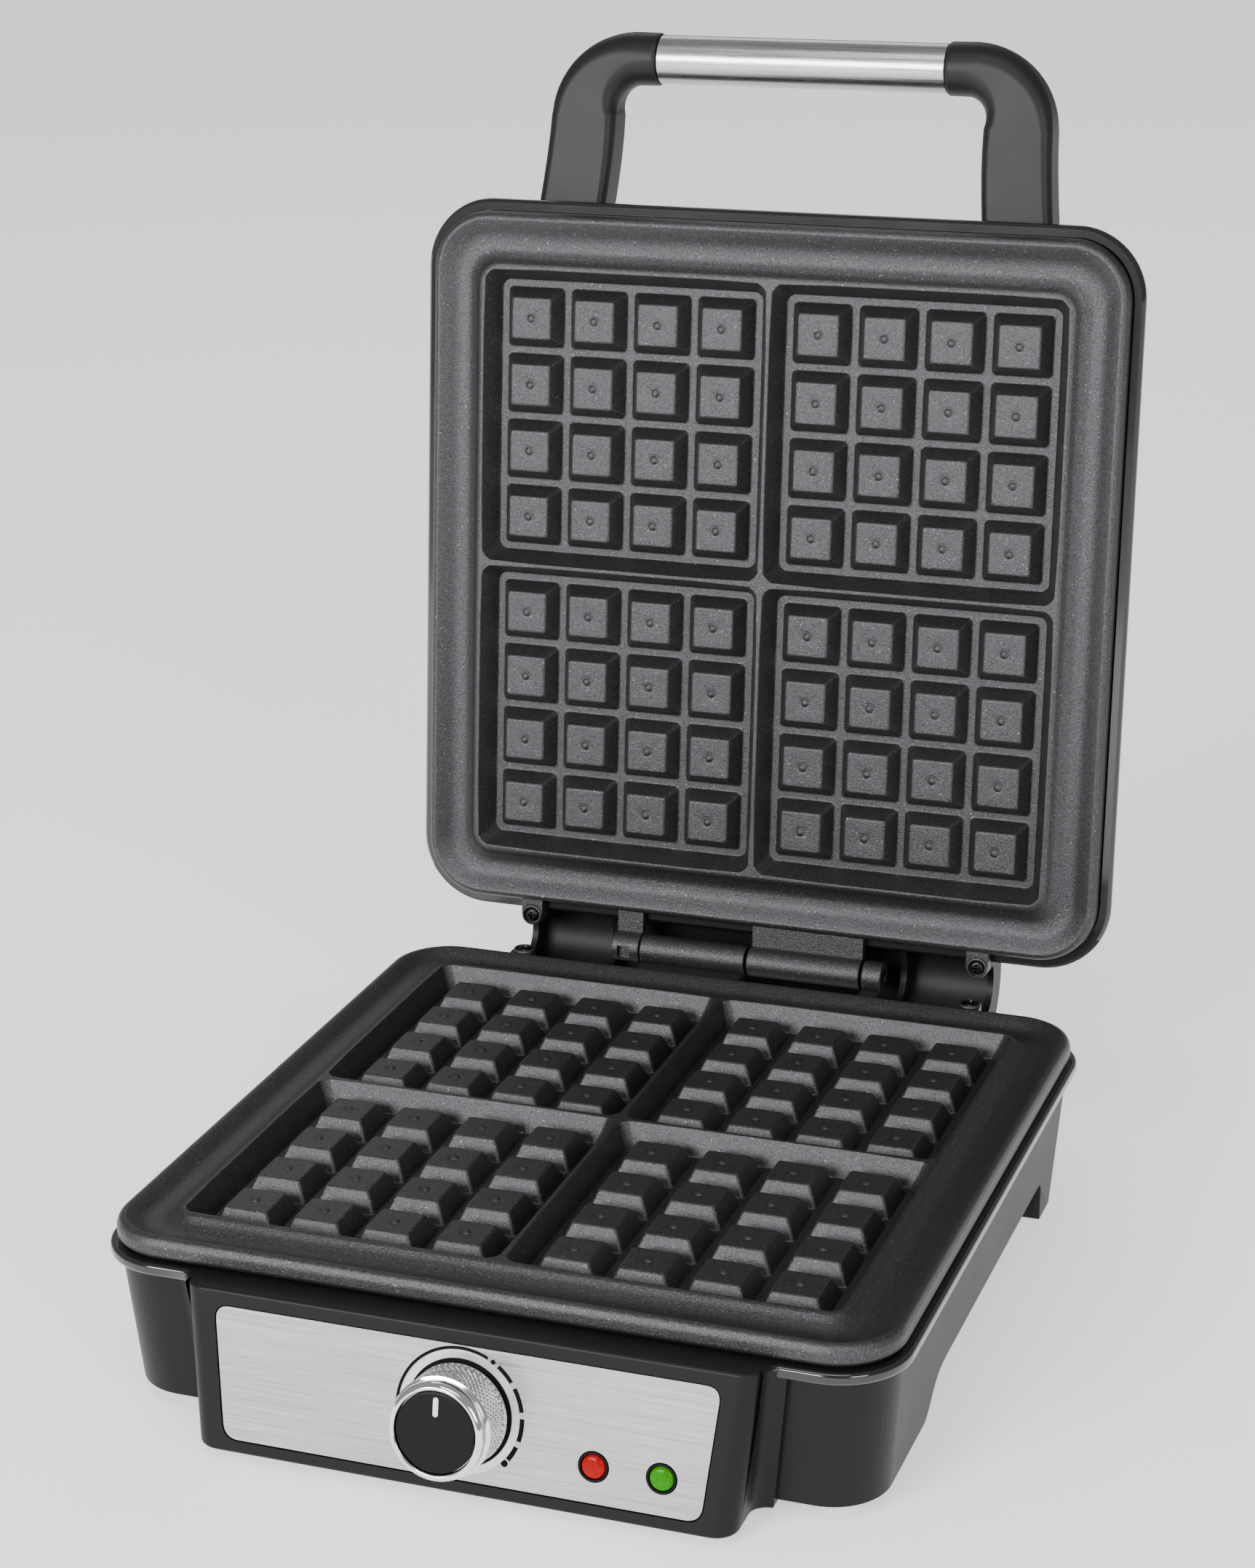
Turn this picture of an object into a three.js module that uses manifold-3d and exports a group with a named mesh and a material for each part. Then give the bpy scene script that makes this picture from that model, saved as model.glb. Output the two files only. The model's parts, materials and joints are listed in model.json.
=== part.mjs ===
// Waffle maker with four square waffle fields: a base with a control panel, a hinged lid and a bail handle.
// Millimetres, +Z up, front towards -Y. The table is z = 0 and the lid stands open, as it rests on its stop.
import * as THREE from 'three';
import { mergeVertices } from 'three/addons/utils/BufferGeometryUtils.js';
import Module from 'manifold-3d';

const wasm = await Module();
wasm.setup();

// ---- Driving dimensions -------------------------------------------------------------------------
const ASSEMBLY_Y = -26.91; // puts the middle of the open machine's box on the origin
const GAP = 0.3; // running gap between touching pieces

// baking plates
const PITCH = 25; // peg to peg
const PEGS = 4; // pegs along one side of a field
const FIRST_PEG = 18.45; // first peg centre from the plate's middle
const PEG_TOP = 15.3;
const PEG_FOOT = 22.1;
const FLOOR_Z = 55.5;
const PEG_Z = 62.5;
const RIDGE_Z = 64.4;
const PARTING_Z = 64.6; // plane in which the two plates meet
const PLATE_UNDER_Z = 50.5;
const SKIRT_Z = 56.4;
const ELEMENT_R = 3.2;
const ELEMENT_Z = 46.8;
const REFLECTOR_Z = 38;
const FIELD_MID = FIRST_PEG + 1.5 * PITCH;
const FIELD_HALF = 51.55;
const RIDGE_HALF = 111.7;

// hinge
const HINGE_Y = 146;
const HINGE_Z = 66.1;
const LID_OPEN = THREE.MathUtils.degToRad(95.8);
const BARREL_R = 5.75;
const PIN_R = 2.5;
const TAB_X = 89;
const TAB_Y = 138;
const TAB_R = 4.2;
const SCREW_SEAT_Z = 62.4;
const EAR_INNER_X = 57;
const EAR_OUTER_X = 93;
const EAR_R = 24;

// base housing
const FLANGE_Z = 56;
const FLANGE_HALF = 135;
const WALL = 2.8;
const wallHalf = (z) => 127 + (4.5 * z) / 52;
const COVER_Z = 19.3;
const FOOT_R = 9;
const FOOT_PLACES = [
  ['front_left', -95, -95],
  ['front_right', 95, -95],
  ['rear_left', -110, 108],
  ['rear_right', 110, 108],
];
const COVER_SCREWS = [
  ['front_left', -60, -98],
  ['front_right', 60, -98],
  ['rear_left', -34, 104],
  ['rear_right', 34, 104],
];

// console and its tilted panel
const PANEL_TILT = THREE.MathUtils.degToRad(10);
const PANEL_Y = -147.5;
const PANEL_Z = 29.4;
const PANEL_HALF_TOP = 84;
const PANEL_HALF_BOTTOM = 79.5;
const PANEL_HALF_HEIGHT = 21.7;
const CONSOLE_Z = 3.3;
const KNOB_SKIRT_R = 16.5;
const LAMPS = [['red', 44.6, 0xd01010], ['green', 66.6, 0x1f9a1a]];
const LAMP_DROP = 9.9; // lamps below the panel's middle

// lid
const LID_RIM_Z = 71.2;
const LID_RIM_HALF = 137;
const LID_TOP_Z = 108.5;
const HANDLE_Z = 100.2;
const HANDLE_Y = -189;
const ARM_X = 85.5;
const ARM_LEAN = 2.3;
const ARM_ROOT_Y = -135.3;
const ARM_ROOT_Z = 93.7;
const TUBE_HALF = 55;
const TUBE_R = 9;

// ---- Solids -------------------------------------------------------------------------------------
function merged(geometry) {
  const bare = geometry.clone();
  bare.deleteAttribute('normal');
  bare.deleteAttribute('uv');
  const welded = mergeVertices(bare, 1e-4);
  const corners = welded.index.array;
  const kept = [];
  for (let i = 0; i < corners.length; i += 3) {
    const [a, b, c] = [corners[i], corners[i + 1], corners[i + 2]];
    if (a !== b && b !== c && c !== a) kept.push(a, b, c);
  }
  return { points: welded.attributes.position.array, corners: kept };
}

function signedVolume({ points, corners }) {
  const at = (i) => new THREE.Vector3(points[3 * i], points[3 * i + 1], points[3 * i + 2]);
  let sum = 0;
  for (let i = 0; i < corners.length; i += 3) {
    sum += at(corners[i]).dot(at(corners[i + 1]).cross(at(corners[i + 2])));
  }
  return sum / 6;
}

// a closed geometry becomes a solid with its faces pointing out
function solid(geometry) {
  const mesh = merged(geometry);
  if (signedVolume(mesh) < 0) mesh.corners.reverse();
  return new wasm.Manifold(new wasm.Mesh({
    numProp: 3,
    vertProperties: Float32Array.from(mesh.points),
    triVerts: Uint32Array.from(mesh.corners),
  }));
}

function geometryOf(manifold) {
  const { numProp, vertProperties, triVerts } = manifold.getMesh();
  const points = new Float32Array((vertProperties.length / numProp) * 3);
  for (let i = 0; i < points.length / 3; i++) {
    points.set(vertProperties.subarray(i * numProp, i * numProp + 3), 3 * i);
  }
  const geometry = new THREE.BufferGeometry();
  geometry.setAttribute('position', new THREE.BufferAttribute(points, 3));
  geometry.setIndex(new THREE.BufferAttribute(new Uint32Array(triVerts), 1));
  geometry.computeVertexNormals();
  return geometry;
}

const join = (parts) => parts.reduce((whole, part) => whole.add(part));
const cut = (whole, parts) => parts.reduce((rest, part) => rest.subtract(part), whole);

// skin over a stack of rings with the same number of points, closed by a fan at each end
function loft(rings) {
  const count = rings[0].length;
  const points = rings.flat(2);
  const middle = (ring) => [0, 1, 2].map((k) => ring.reduce((sum, p) => sum + p[k], 0) / count);
  points.push(...middle(rings[0]), ...middle(rings[rings.length - 1]));
  const low = rings.length * count;
  const high = low + 1;
  const corners = [];
  for (let i = 0; i < count; i++) {
    const j = (i + 1) % count;
    corners.push(low, j, i);
    for (let k = 0; k + 1 < rings.length; k++) {
      const [a, b] = [k * count + i, k * count + j];
      corners.push(a, b, b + count, a, b + count, a + count);
    }
    const last = (rings.length - 1) * count;
    corners.push(high, last + i, last + j);
  }
  const geometry = new THREE.BufferGeometry();
  geometry.setAttribute('position', new THREE.Float32BufferAttribute(points, 3));
  geometry.setIndex(corners);
  return solid(geometry);
}

// the four corners of a square, anticlockwise
const CORNERS = [[1, 1], [-1, 1], [-1, -1], [1, -1]];

function roundedRectangle(halfX, halfY, radius, steps = 4) {
  const ring = [];
  CORNERS.forEach(([sx, sy], corner) => {
    for (let i = 0; i <= steps; i++) {
      const angle = (Math.PI / 2) * (corner + i / steps);
      const x = sx * (halfX - radius) + radius * Math.cos(angle);
      const y = sy * (halfY - radius) + radius * Math.sin(angle);
      ring.push([x, y]);
    }
  });
  return ring;
}

// stack of rounded squares, each [half width, corner radius, z]
function squareLoft(sections, steps = 4) {
  const ring = ([half, radius, z]) => roundedRectangle(half, half, radius, steps).map(([x, y]) => [x, y, z]);
  return loft(sections.map(ring));
}

function box(x0, x1, y0, y1, z0, z1) {
  const geometry = new THREE.BoxGeometry(x1 - x0, y1 - y0, z1 - z0);
  return solid(geometry.translate((x0 + x1) / 2, (y0 + y1) / 2, (z0 + z1) / 2));
}

// straight round bar between two heights on +Z
function post(radius, z0, z1, x = 0, y = 0, sides = 16) {
  const geometry = new THREE.CylinderGeometry(radius, radius, z1 - z0, sides);
  return solid(geometry.rotateX(Math.PI / 2).translate(x, y, (z0 + z1) / 2));
}

// straight round bar along X
function bar(radius, x0, x1, y, z, sides = 16) {
  const geometry = new THREE.CylinderGeometry(radius, radius, x1 - x0, sides);
  return solid(geometry.rotateZ(Math.PI / 2).translate((x0 + x1) / 2, y, z));
}

// straight round bar along Y
function rod(radius, y0, y1, x, z, sides = 16) {
  const geometry = new THREE.CylinderGeometry(radius, radius, y1 - y0, sides);
  return solid(geometry.translate(x, (y0 + y1) / 2, z));
}

// turned shape about +Z from a profile of [radius, z] that starts and ends on the axis
function turned(profile, sides = 32) {
  const points = profile.map(([radius, z]) => new THREE.Vector2(radius, z));
  return solid(new THREE.LatheGeometry(points, sides).rotateX(Math.PI / 2));
}

function shapeOf(points) {
  return new THREE.Shape(points.map(([u, v]) => new THREE.Vector2(u, v)));
}

// outline in the Y-Z plane, extruded along X
function sidePrism(points, x0, x1) {
  const geometry = new THREE.ExtrudeGeometry(shapeOf(points), { depth: x1 - x0, bevelEnabled: false });
  const turn = new THREE.Matrix4().makeBasis(
    new THREE.Vector3(0, 1, 0), new THREE.Vector3(0, 0, 1), new THREE.Vector3(1, 0, 0));
  return solid(geometry.applyMatrix4(turn).translate(x0, 0, 0));
}

// outline in the X-Y plane, extruded along Z
function flatPrism(points, z0, z1) {
  const geometry = new THREE.ExtrudeGeometry(shapeOf(points), { depth: z1 - z0, bevelEnabled: false });
  return solid(geometry.translate(0, 0, z0));
}

// tube with a many-sided section along a smooth route
function tubeAlong(points, radius, steps, sides) {
  const path = new THREE.CatmullRomCurve3(points.map((p) => new THREE.Vector3(...p)));
  const section = shapeOf(Array.from({ length: sides }, (_, i) => {
    const angle = (2 * Math.PI * i) / sides;
    return [radius * Math.cos(angle), radius * Math.sin(angle)];
  }));
  return solid(new THREE.ExtrudeGeometry(section, { extrudePath: path, steps, bevelEnabled: false }));
}

function moved(manifold, matrix) {
  return solid(geometryOf(manifold).applyMatrix4(matrix));
}

// ---- Baking plates ------------------------------------------------------------------------------
function pegAt(x, y) {
  const square = (side, z) => CORNERS.map(([sx, sy]) => [x + (sx * side) / 2, y + (sy * side) / 2, z]);
  return loft([square(PEG_FOOT + 0.9, FLOOR_Z - 0.5), square(PEG_FOOT, FLOOR_Z), square(PEG_TOP, PEG_Z)]);
}

// sloping well of one waffle, between the outer ridge and the thin dividers on the plate's middle lines
function wellAt(sx, sy) {
  const dividerHalf = 0.7;
  const topHalf = (RIDGE_HALF - dividerHalf) / 2;
  const topMid = (RIDGE_HALF + dividerHalf) / 2;
  const ring = (half, radius, mid, z) => roundedRectangle(half, half, radius, 4)
    .map(([x, y]) => [x + sx * mid, y + sy * mid, z]);
  return loft([
    ring(FIELD_HALF, 4, FIELD_MID, FLOOR_Z),
    ring(topHalf, 6, topMid, RIDGE_Z),
    ring(topHalf, 6, topMid, RIDGE_Z + 2),
  ]);
}

// hinge knuckles with webs to the plate's rear edge, and two ears that take the plate screws
function bakingPlate(knuckles) {
  const body = squareLoft([
    [117, 12, PLATE_UNDER_Z],
    [118.5, 13, SKIRT_Z - 0.1],
    [131, 20.5, SKIRT_Z],
    [132.6, 22, 58],
    [132.6, 22, 61.8],
    [131.6, 21, 63.5],
    [130, 19.5, 64.2],
    [128, 17.5, 63.4],
    [123.5, 14, 60.8],
    [118.5, 11, 60.4],
    [115.3, 9, 62.2],
    [113.6, 8, 64],
    [112.6, 7.4, RIDGE_Z],
  ]);
  const signs = [-1, 1];
  const wells = signs.flatMap((sx) => signs.map((sy) => wellAt(sx, sy)));
  const lines = signs.flatMap((s) => Array.from({ length: PEGS }, (_, i) => s * (FIRST_PEG + i * PITCH)));
  const pegs = lines.flatMap((x) => lines.map((y) => pegAt(x, y)));
  const webs = knuckles.map(([x0, x1]) => box(x0, x1, 130, HINGE_Y, 58.4, 62));
  const barrels = knuckles.map(([x0, x1]) => bar(BARREL_R, x0, x1, HINGE_Y, HINGE_Z));
  const tabs = signs.map((s) => post(TAB_R, SKIRT_Z, 63.6, s * TAB_X, TAB_Y)
    .add(box(s * TAB_X - TAB_R, s * TAB_X + TAB_R, 130.5, TAB_Y, SKIRT_Z + 1, 63.6)));
  const bores = signs.flatMap((s) => [
    post(1.9, 40, 70, s * TAB_X, TAB_Y, 12),
    post(3.2, 62.1, 70, s * TAB_X, TAB_Y, 16),
  ]);
  const pinBore = bar(PIN_R + GAP, -80, 80, HINGE_Y, HINGE_Z, 16);
  return cut(join([cut(body, wells), ...pegs, ...webs, ...barrels, ...tabs]), [...bores, pinBore]);
}

// the upper plate is the lower one turned over in the parting plane, about the same hinge pin
function upperPlate(knuckles) {
  const plain = bakingPlate([]);
  const turn = new THREE.Matrix4().makeScale(1, 1, -1).setPosition(0, 0, 2 * PARTING_Z);
  const webs = knuckles.map(([x0, x1]) => box(x0, x1, 130, HINGE_Y, 67.2, 70.8));
  const barrels = knuckles.map(([x0, x1]) => bar(BARREL_R, x0, x1, HINGE_Y, HINGE_Z));
  const pinBore = bar(PIN_R + GAP, -80, 80, HINGE_Y, HINGE_Z, 16);
  return cut(join([moved(plain, turn), ...webs, ...barrels]), [pinBore]);
}

// ---- Base ---------------------------------------------------------------------------------------
const faceY = (z) => PANEL_Y + (z - PANEL_Z) * Math.tan(PANEL_TILT);
const consoleHalf = (z) => 90 + (6 * (z - CONSOLE_Z)) / (FLANGE_Z - CONSOLE_Z);

// outline of the console at one height: rounded front corners, then a hollow curve to the front wall
function consoleRing(z, inset, backY) {
  const half = consoleHalf(z) - inset;
  const front = faceY(z) + inset;
  const side = -wallHalf(z) - 2.5 + inset;
  const round = 7;
  const hollow = 6;
  const right = [];
  for (let i = 0; i <= 4; i++) {
    const angle = (Math.PI / 8) * i;
    right.push([half - round + round * Math.sin(angle), front + round - round * Math.cos(angle)]);
  }
  for (let i = 0; i <= 3; i++) {
    const angle = (Math.PI / 6) * i;
    right.push([half + hollow - hollow * Math.cos(angle), side - hollow + hollow * Math.sin(angle)]);
  }
  right.push([half + hollow, backY]);
  const left = right.map(([x, y]) => [-x, y]).reverse();
  return [...left, ...right].map(([x, y]) => [x, y, z]);
}

const panelFrame = new THREE.Matrix4()
  .makeRotationX(Math.PI / 2 - PANEL_TILT)
  .setPosition(0, PANEL_Y, PANEL_Z);

// rounded trapezium of the panel in its own plane
function panelOutline(grow, radius) {
  const up = PANEL_HALF_HEIGHT + grow;
  const corners = [
    [-PANEL_HALF_BOTTOM - grow, -up],
    [PANEL_HALF_BOTTOM + grow, -up],
    [PANEL_HALF_TOP + grow, up],
    [-PANEL_HALF_TOP - grow, up],
  ];
  const rounded = [];
  corners.forEach(([x, y], corner) => {
    const start = Math.PI + (corner * Math.PI) / 2;
    const centre = [x - Math.sign(x) * radius, y - Math.sign(y) * radius];
    for (let i = 0; i <= 4; i++) {
      const angle = start + (Math.PI / 8) * i;
      rounded.push([centre[0] + radius * Math.cos(angle), centre[1] + radius * Math.sin(angle)]);
    }
  });
  return rounded;
}

function sideArch() {
  const frontCurve = [[-68, -2], [-68, 6], [-64, 9], [-60, 14.5], [-55, 17.8], [-49, 18.8]];
  const legEdge = [[86, 18.8], [89, 17], [95.5, -2]];
  return sidePrism([...frontCurve, ...legEdge], -140, 140);
}

function baseHousing() {
  const walls = squareLoft([[wallHalf(0.8), 19, 0.8], [wallHalf(FLANGE_Z - 3), 21, FLANGE_Z - 3]]);
  const flange = squareLoft([
    [FLANGE_HALF - 1, 23, FLANGE_Z - 4],
    [FLANGE_HALF, 24, FLANGE_Z - 3],
    [FLANGE_HALF, 24, FLANGE_Z - 0.8],
    [FLANGE_HALF - 0.8, 23.2, FLANGE_Z],
  ]);
  const consoleBack = -118;
  const consoleBlock = loft([
    consoleRing(CONSOLE_Z, 1.5, consoleBack),
    consoleRing(CONSOLE_Z + 1.5, 0, consoleBack),
    consoleRing(FLANGE_Z - 1.2, 0, consoleBack),
    consoleRing(FLANGE_Z, 1.2, consoleBack),
  ]);
  const bosses = [-1, 1].map((s) => post(TAB_R, 42, FLANGE_Z, s * TAB_X, TAB_Y)
    .add(box(s * TAB_X - TAB_R, s * TAB_X + TAB_R, 127, TAB_Y, 42, FLANGE_Z)));
  const lowFront = box(-150, 150, -140, -60, -2, 6);
  const rearArch = flatPrism([[-104, 90], [104, 90], [104, 150], [-104, 150]], -2, 18.8);
  const cavity = squareLoft([
    [wallHalf(-2) - WALL, 16.5, -2],
    [wallHalf(FLANGE_Z - 4) - WALL, 18.5, FLANGE_Z - 4],
  ]);
  const mouth = squareLoft([[124, 17, FLANGE_Z - 6], [124, 17, FLANGE_Z + 2]]);
  const consoleCavity = loft([
    consoleRing(CONSOLE_Z - 3, WALL, consoleBack + 6),
    consoleRing(FLANGE_Z - 4, WALL, consoleBack + 6),
  ]);
  const legFronts = [-1, 1].map((s) => box(s > 0 ? 104 : -125, s > 0 ? 125 : -104, 93, 97, 0.8, 22));
  const recess = moved(flatPrism(panelOutline(0.5, 5.5), -1.5, 4), panelFrame);
  const panelHoles = [[0, 0, 5], ...LAMPS.map(([, x]) => [x, -LAMP_DROP, 5.1])]
    .map(([x, y, radius]) => moved(post(radius, -12, 4, x, y), panelFrame));
  const screwBores = [-1, 1].map((s) => post(1.9, 46, 60, s * TAB_X, TAB_Y, 12));
  const inletHole = rod(6.4, 120, 140, -70, 34);
  const block = join([cut(walls, [lowFront]), flange, consoleBlock, ...bosses]);
  const shell = cut(block, [cavity, mouth, consoleCavity, rearArch]);
  return cut(join([shell, ...legFronts]), [sideArch(), recess, ...panelHoles, ...screwBores, inletHole]);
}

// flat cover with a lower tray under the console, and four posts that carry the rubber feet
function bottomCover() {
  const half = wallHalf(COVER_Z) - WALL - 0.6;
  const thick = 2.5;
  const trayBack = -112;
  const sheet = squareLoft([[half, 16, COVER_Z], [half, 16, COVER_Z + thick]]);
  const legClearance = [-1, 1].map((s) => box(s > 0 ? 103 : -130, s > 0 ? 130 : -103, 92, 98, 0, 30));
  const consoleSpace = box(-86, 86, -140, trayBack - thick, 0, 40);
  const tray = loft([
    consoleRing(CONSOLE_Z + 1.2, WALL + 0.6, trayBack),
    consoleRing(CONSOLE_Z + 1.2 + thick, WALL + 0.6, trayBack),
  ]).intersect(box(-86, 86, -160, trayBack, 0, 40));
  const riser = box(-86, 86, trayBack - thick, trayBack, CONSOLE_Z + 1.2, COVER_Z + thick);
  const posts = FOOT_PLACES.map(([, x, y]) => post(FOOT_R, 4.3, COVER_Z + 1, x, y));
  const screwHoles = COVER_SCREWS.map(([, x, y]) => post(2, 0, 30, x, y, 12));
  return cut(join([cut(sheet, [...legClearance, consoleSpace]), tray, riser, ...posts]), screwHoles);
}

const rubberFoot = () => turned([[0, 0], [FOOT_R - 1.5, 0], [FOOT_R, 1.2], [FOOT_R, 4], [0, 4]], 18);

// heating rod bent into a rounded square with its two ends at the rear
function heatingElement(z) {
  const half = 82;
  const round = 26;
  const end = 96;
  const leftEnd = [[-14, end, z], [-14, half + 4, z], [-24, half, z]];
  const rightEnd = leftEnd.map(([x, y]) => [-x, y, z]).reverse();
  const bends = [[-1, 1], [-1, -1], [1, -1], [1, 1]].flatMap(([sx, sy], corner) => {
    const centre = [sx * (half - round), sy * (half - round)];
    return Array.from({ length: 5 }, (_, i) => {
      const angle = Math.PI / 2 + (Math.PI / 2) * (corner + i / 4);
      return [centre[0] + round * Math.cos(angle), centre[1] + round * Math.sin(angle), z];
    });
  });
  return tubeAlong([...leftEnd, ...bends, ...rightEnd], ELEMENT_R, 44, 6);
}

// insulated lead with a five-sided section
const lead = (points) => tubeAlong(points, 1.6, 14, 5);

function heatReflector(z, thickness) {
  const tray = squareLoft([[108, 14, z], [108, 14, z + thickness]], 3);
  const slots = [-1, 1].map((s) => box(s * 60 - 12, s * 60 + 12, -20, 20, z - 1, z + thickness + 1));
  return cut(tray, slots);
}

function screw(headRadius, headHeight, shankRadius, length) {
  return turned([
    [0, -length],
    [shankRadius, -length + 1],
    [shankRadius, 0],
    [headRadius, 0],
    [headRadius * 0.7, headHeight],
    [0, headHeight],
  ], 10);
}

// panel parts: +Z is the panel's outward normal and +Y runs up the panel
function controlPanel() {
  const sheet = flatPrism(panelOutline(0, 5), -1.2, -0.2);
  return cut(sheet, [post(4.2, -3, 3), ...LAMPS.map(([, x]) => post(5.1, -3, 3, x, -LAMP_DROP))]);
}

const lampLens = () => turned([[0, -4], [3.9, -4], [3.9, 0.2], [3.2, 0.9], [1.8, 1.35], [0, 1.5]], 14);

const lampHolder = () => turned([[0, -13], [4.75, -13], [4.75, 0.1], [4.2, 0.1], [4.2, -11], [0, -11]], 14);

const thermostatBody = () => join([box(-14, 14, -13, 13, -26, -8), post(7, -9, -5.2)])
  .subtract(post(3.4, -12, 0));

const thermostatShaft = () => post(3, -11.4, 12, 0, 0, 16).subtract(box(-4, 4, 1.8, 4, 2, 13));

const knob = () => turned([
  [0, 12.5],
  [3.4, 12.5],
  [3.4, 0.6],
  [KNOB_SKIRT_R, 0.6],
  [KNOB_SKIRT_R, 13],
  [15.5, 14],
  [15.9, 16.5],
  [15.6, 18.6],
  [14.6, 19.9],
  [13.6, 20],
  [13.3, 19.2],
  [13.3, 18],
  [0, 18],
], 28);

const knobCap = () => turned([[0, 18.3], [13, 18.3], [13, 19.2], [0, 19.5]], 28);

// ---- Lid (in its closed place, then turned about the hinge pin) ---------------------------------
function hingeSector(r0, r1, x0, x1) {
  const from = 50;
  const to = 180;
  const arc = (radius) => Array.from({ length: 9 }, (_, i) => {
    const angle = THREE.MathUtils.degToRad(from + ((to - from) * i) / 8);
    return [HINGE_Y - radius * Math.cos(angle), HINGE_Z + radius * Math.sin(angle)];
  });
  return sidePrism([...arc(r0), ...arc(r1).reverse()], x0, x1);
}

// hollow cover over the whole hinge that rolls down behind it as the lid opens, with two cheeks at each end
function hingeCover() {
  const skin = 2.4;
  const cheeks = [-EAR_OUTER_X, -EAR_INNER_X - skin, EAR_INNER_X, EAR_OUTER_X - skin]
    .map((x) => hingeSector(12, EAR_R, x, x + skin));
  return join([hingeSector(EAR_R - skin, EAR_R, -EAR_OUTER_X, EAR_OUTER_X), ...cheeks]);
}

function lidHousing() {
  const outside = squareLoft([
    [LID_RIM_HALF - 1.2, 25, LID_RIM_Z],
    [LID_RIM_HALF, 26, LID_RIM_Z + 1.2],
    [LID_RIM_HALF, 26, LID_RIM_Z + 3.4],
    [LID_RIM_HALF - 2, 24, LID_RIM_Z + 4.4],
    [133.5, 22.5, 90],
    [131, 21, 98],
    [126, 18, 103.5],
    [118, 14, 107],
    [108, 10, LID_TOP_Z],
  ]);
  const inside = squareLoft([
    [133.1, 22.4, LID_RIM_Z - 2],
    [133.1, 22.4, 73.2],
    [128, 19, 73.3],
    [128, 19, 90],
    [125, 17, 98],
    [112, 10, 104.5],
  ]);
  const coverRecess = squareLoft([[98, 12, LID_TOP_Z - 1.2], [98, 12, LID_TOP_Z + 2]]);
  const padBack = -127;
  const pads = [-1, 1].map((s) => box(
    s * ARM_X - 10, s * ARM_X + 10, ARM_ROOT_Y + GAP, padBack, ARM_ROOT_Z - 7, ARM_ROOT_Z + 7));
  const padBores = [-1, 1].flatMap((s) => [
    rod(2, -140, -120, s * ARM_X, ARM_ROOT_Z),
    rod(3.9, padBack - 0.2, -115, s * ARM_X, ARM_ROOT_Z),
  ]);
  const bossTop = 2 * PARTING_Z - FLANGE_Z;
  const bosses = [-1, 1].map((s) => post(TAB_R, bossTop, 86, s * TAB_X, TAB_Y)
    .add(box(s * TAB_X - TAB_R, s * TAB_X + TAB_R, 129, TAB_Y, bossTop + 0.6, 86)));
  const bossBores = [-1, 1].map((s) => post(1.9, 70, 84, s * TAB_X, TAB_Y, 12));
  const notchHalf = TAB_R + 0.5;
  const tabNotches = [-1, 1].map((s) => box(
    s * TAB_X - notchHalf, s * TAB_X + notchHalf, 130, 143, 70, bossTop));
  const shell = join([cut(outside, [inside]), ...pads, ...bosses, hingeCover()]);
  return cut(shell, [coverRecess, ...padBores, ...bossBores, ...tabNotches]);
}

const lidCover = () => squareLoft([
  [97.6, 11.6, LID_TOP_Z - 0.9],
  [97.6, 11.6, LID_TOP_Z + 0.1],
  [97.2, 11.2, LID_TOP_Z + 0.3],
]);

// arm that leaves the lid's front edge and bends in to the grip tube
function handleArm(side) {
  const bend = 20;
  const bendX = ARM_X - ARM_LEAN - bend;
  const reach = HANDLE_Y + bend - ARM_ROOT_Y;
  const places = [0, 0.5, 1].map((t) => ({ x: ARM_X - ARM_LEAN * t, y: ARM_ROOT_Y + reach * t, turn: 0 }));
  for (let i = 1; i <= 6; i++) {
    const turn = (Math.PI / 2) * (i / 6);
    const x = bendX + bend * Math.cos(turn);
    const y = HANDLE_Y + bend - bend * Math.sin(turn);
    places.push({ x, y, turn });
  }
  places.push({ x: TUBE_HALF + GAP, y: HANDLE_Y, turn: Math.PI / 2 });
  const rings = places.map(({ x, y, turn }, station) => {
    const blend = station / (places.length - 1);
    const climb = (y - ARM_ROOT_Y) / (HANDLE_Y - ARM_ROOT_Y);
    const z = ARM_ROOT_Z + climb * (HANDLE_Z - ARM_ROOT_Z);
    const halfWidth = 13.2 - 3.5 * blend;
    const halfDepth = 8.5 + 1.2 * blend;
    const corner = 3.4 + 6.1 * blend;
    return roundedRectangle(halfWidth, halfDepth, corner, 3)
      .map(([u, v]) => [side * (x + u * Math.cos(turn)), y - u * Math.sin(turn), z + v]);
  });
  const spigotEnds = [side * (TUBE_HALF - 12), side * (TUBE_HALF + 2)].sort((a, b) => a - b);
  const spigot = bar(7.4, ...spigotEnds, HANDLE_Y, HANDLE_Z);
  return loft(rings).add(spigot).subtract(rod(2, -158, -120, side * ARM_X, ARM_ROOT_Z));
}

const handleTube = () => bar(TUBE_R, -TUBE_HALF, TUBE_HALF, HANDLE_Y, HANDLE_Z, 28)
  .subtract(bar(7.8, -TUBE_HALF - 1, TUBE_HALF + 1, HANDLE_Y, HANDLE_Z, 24));

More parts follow.
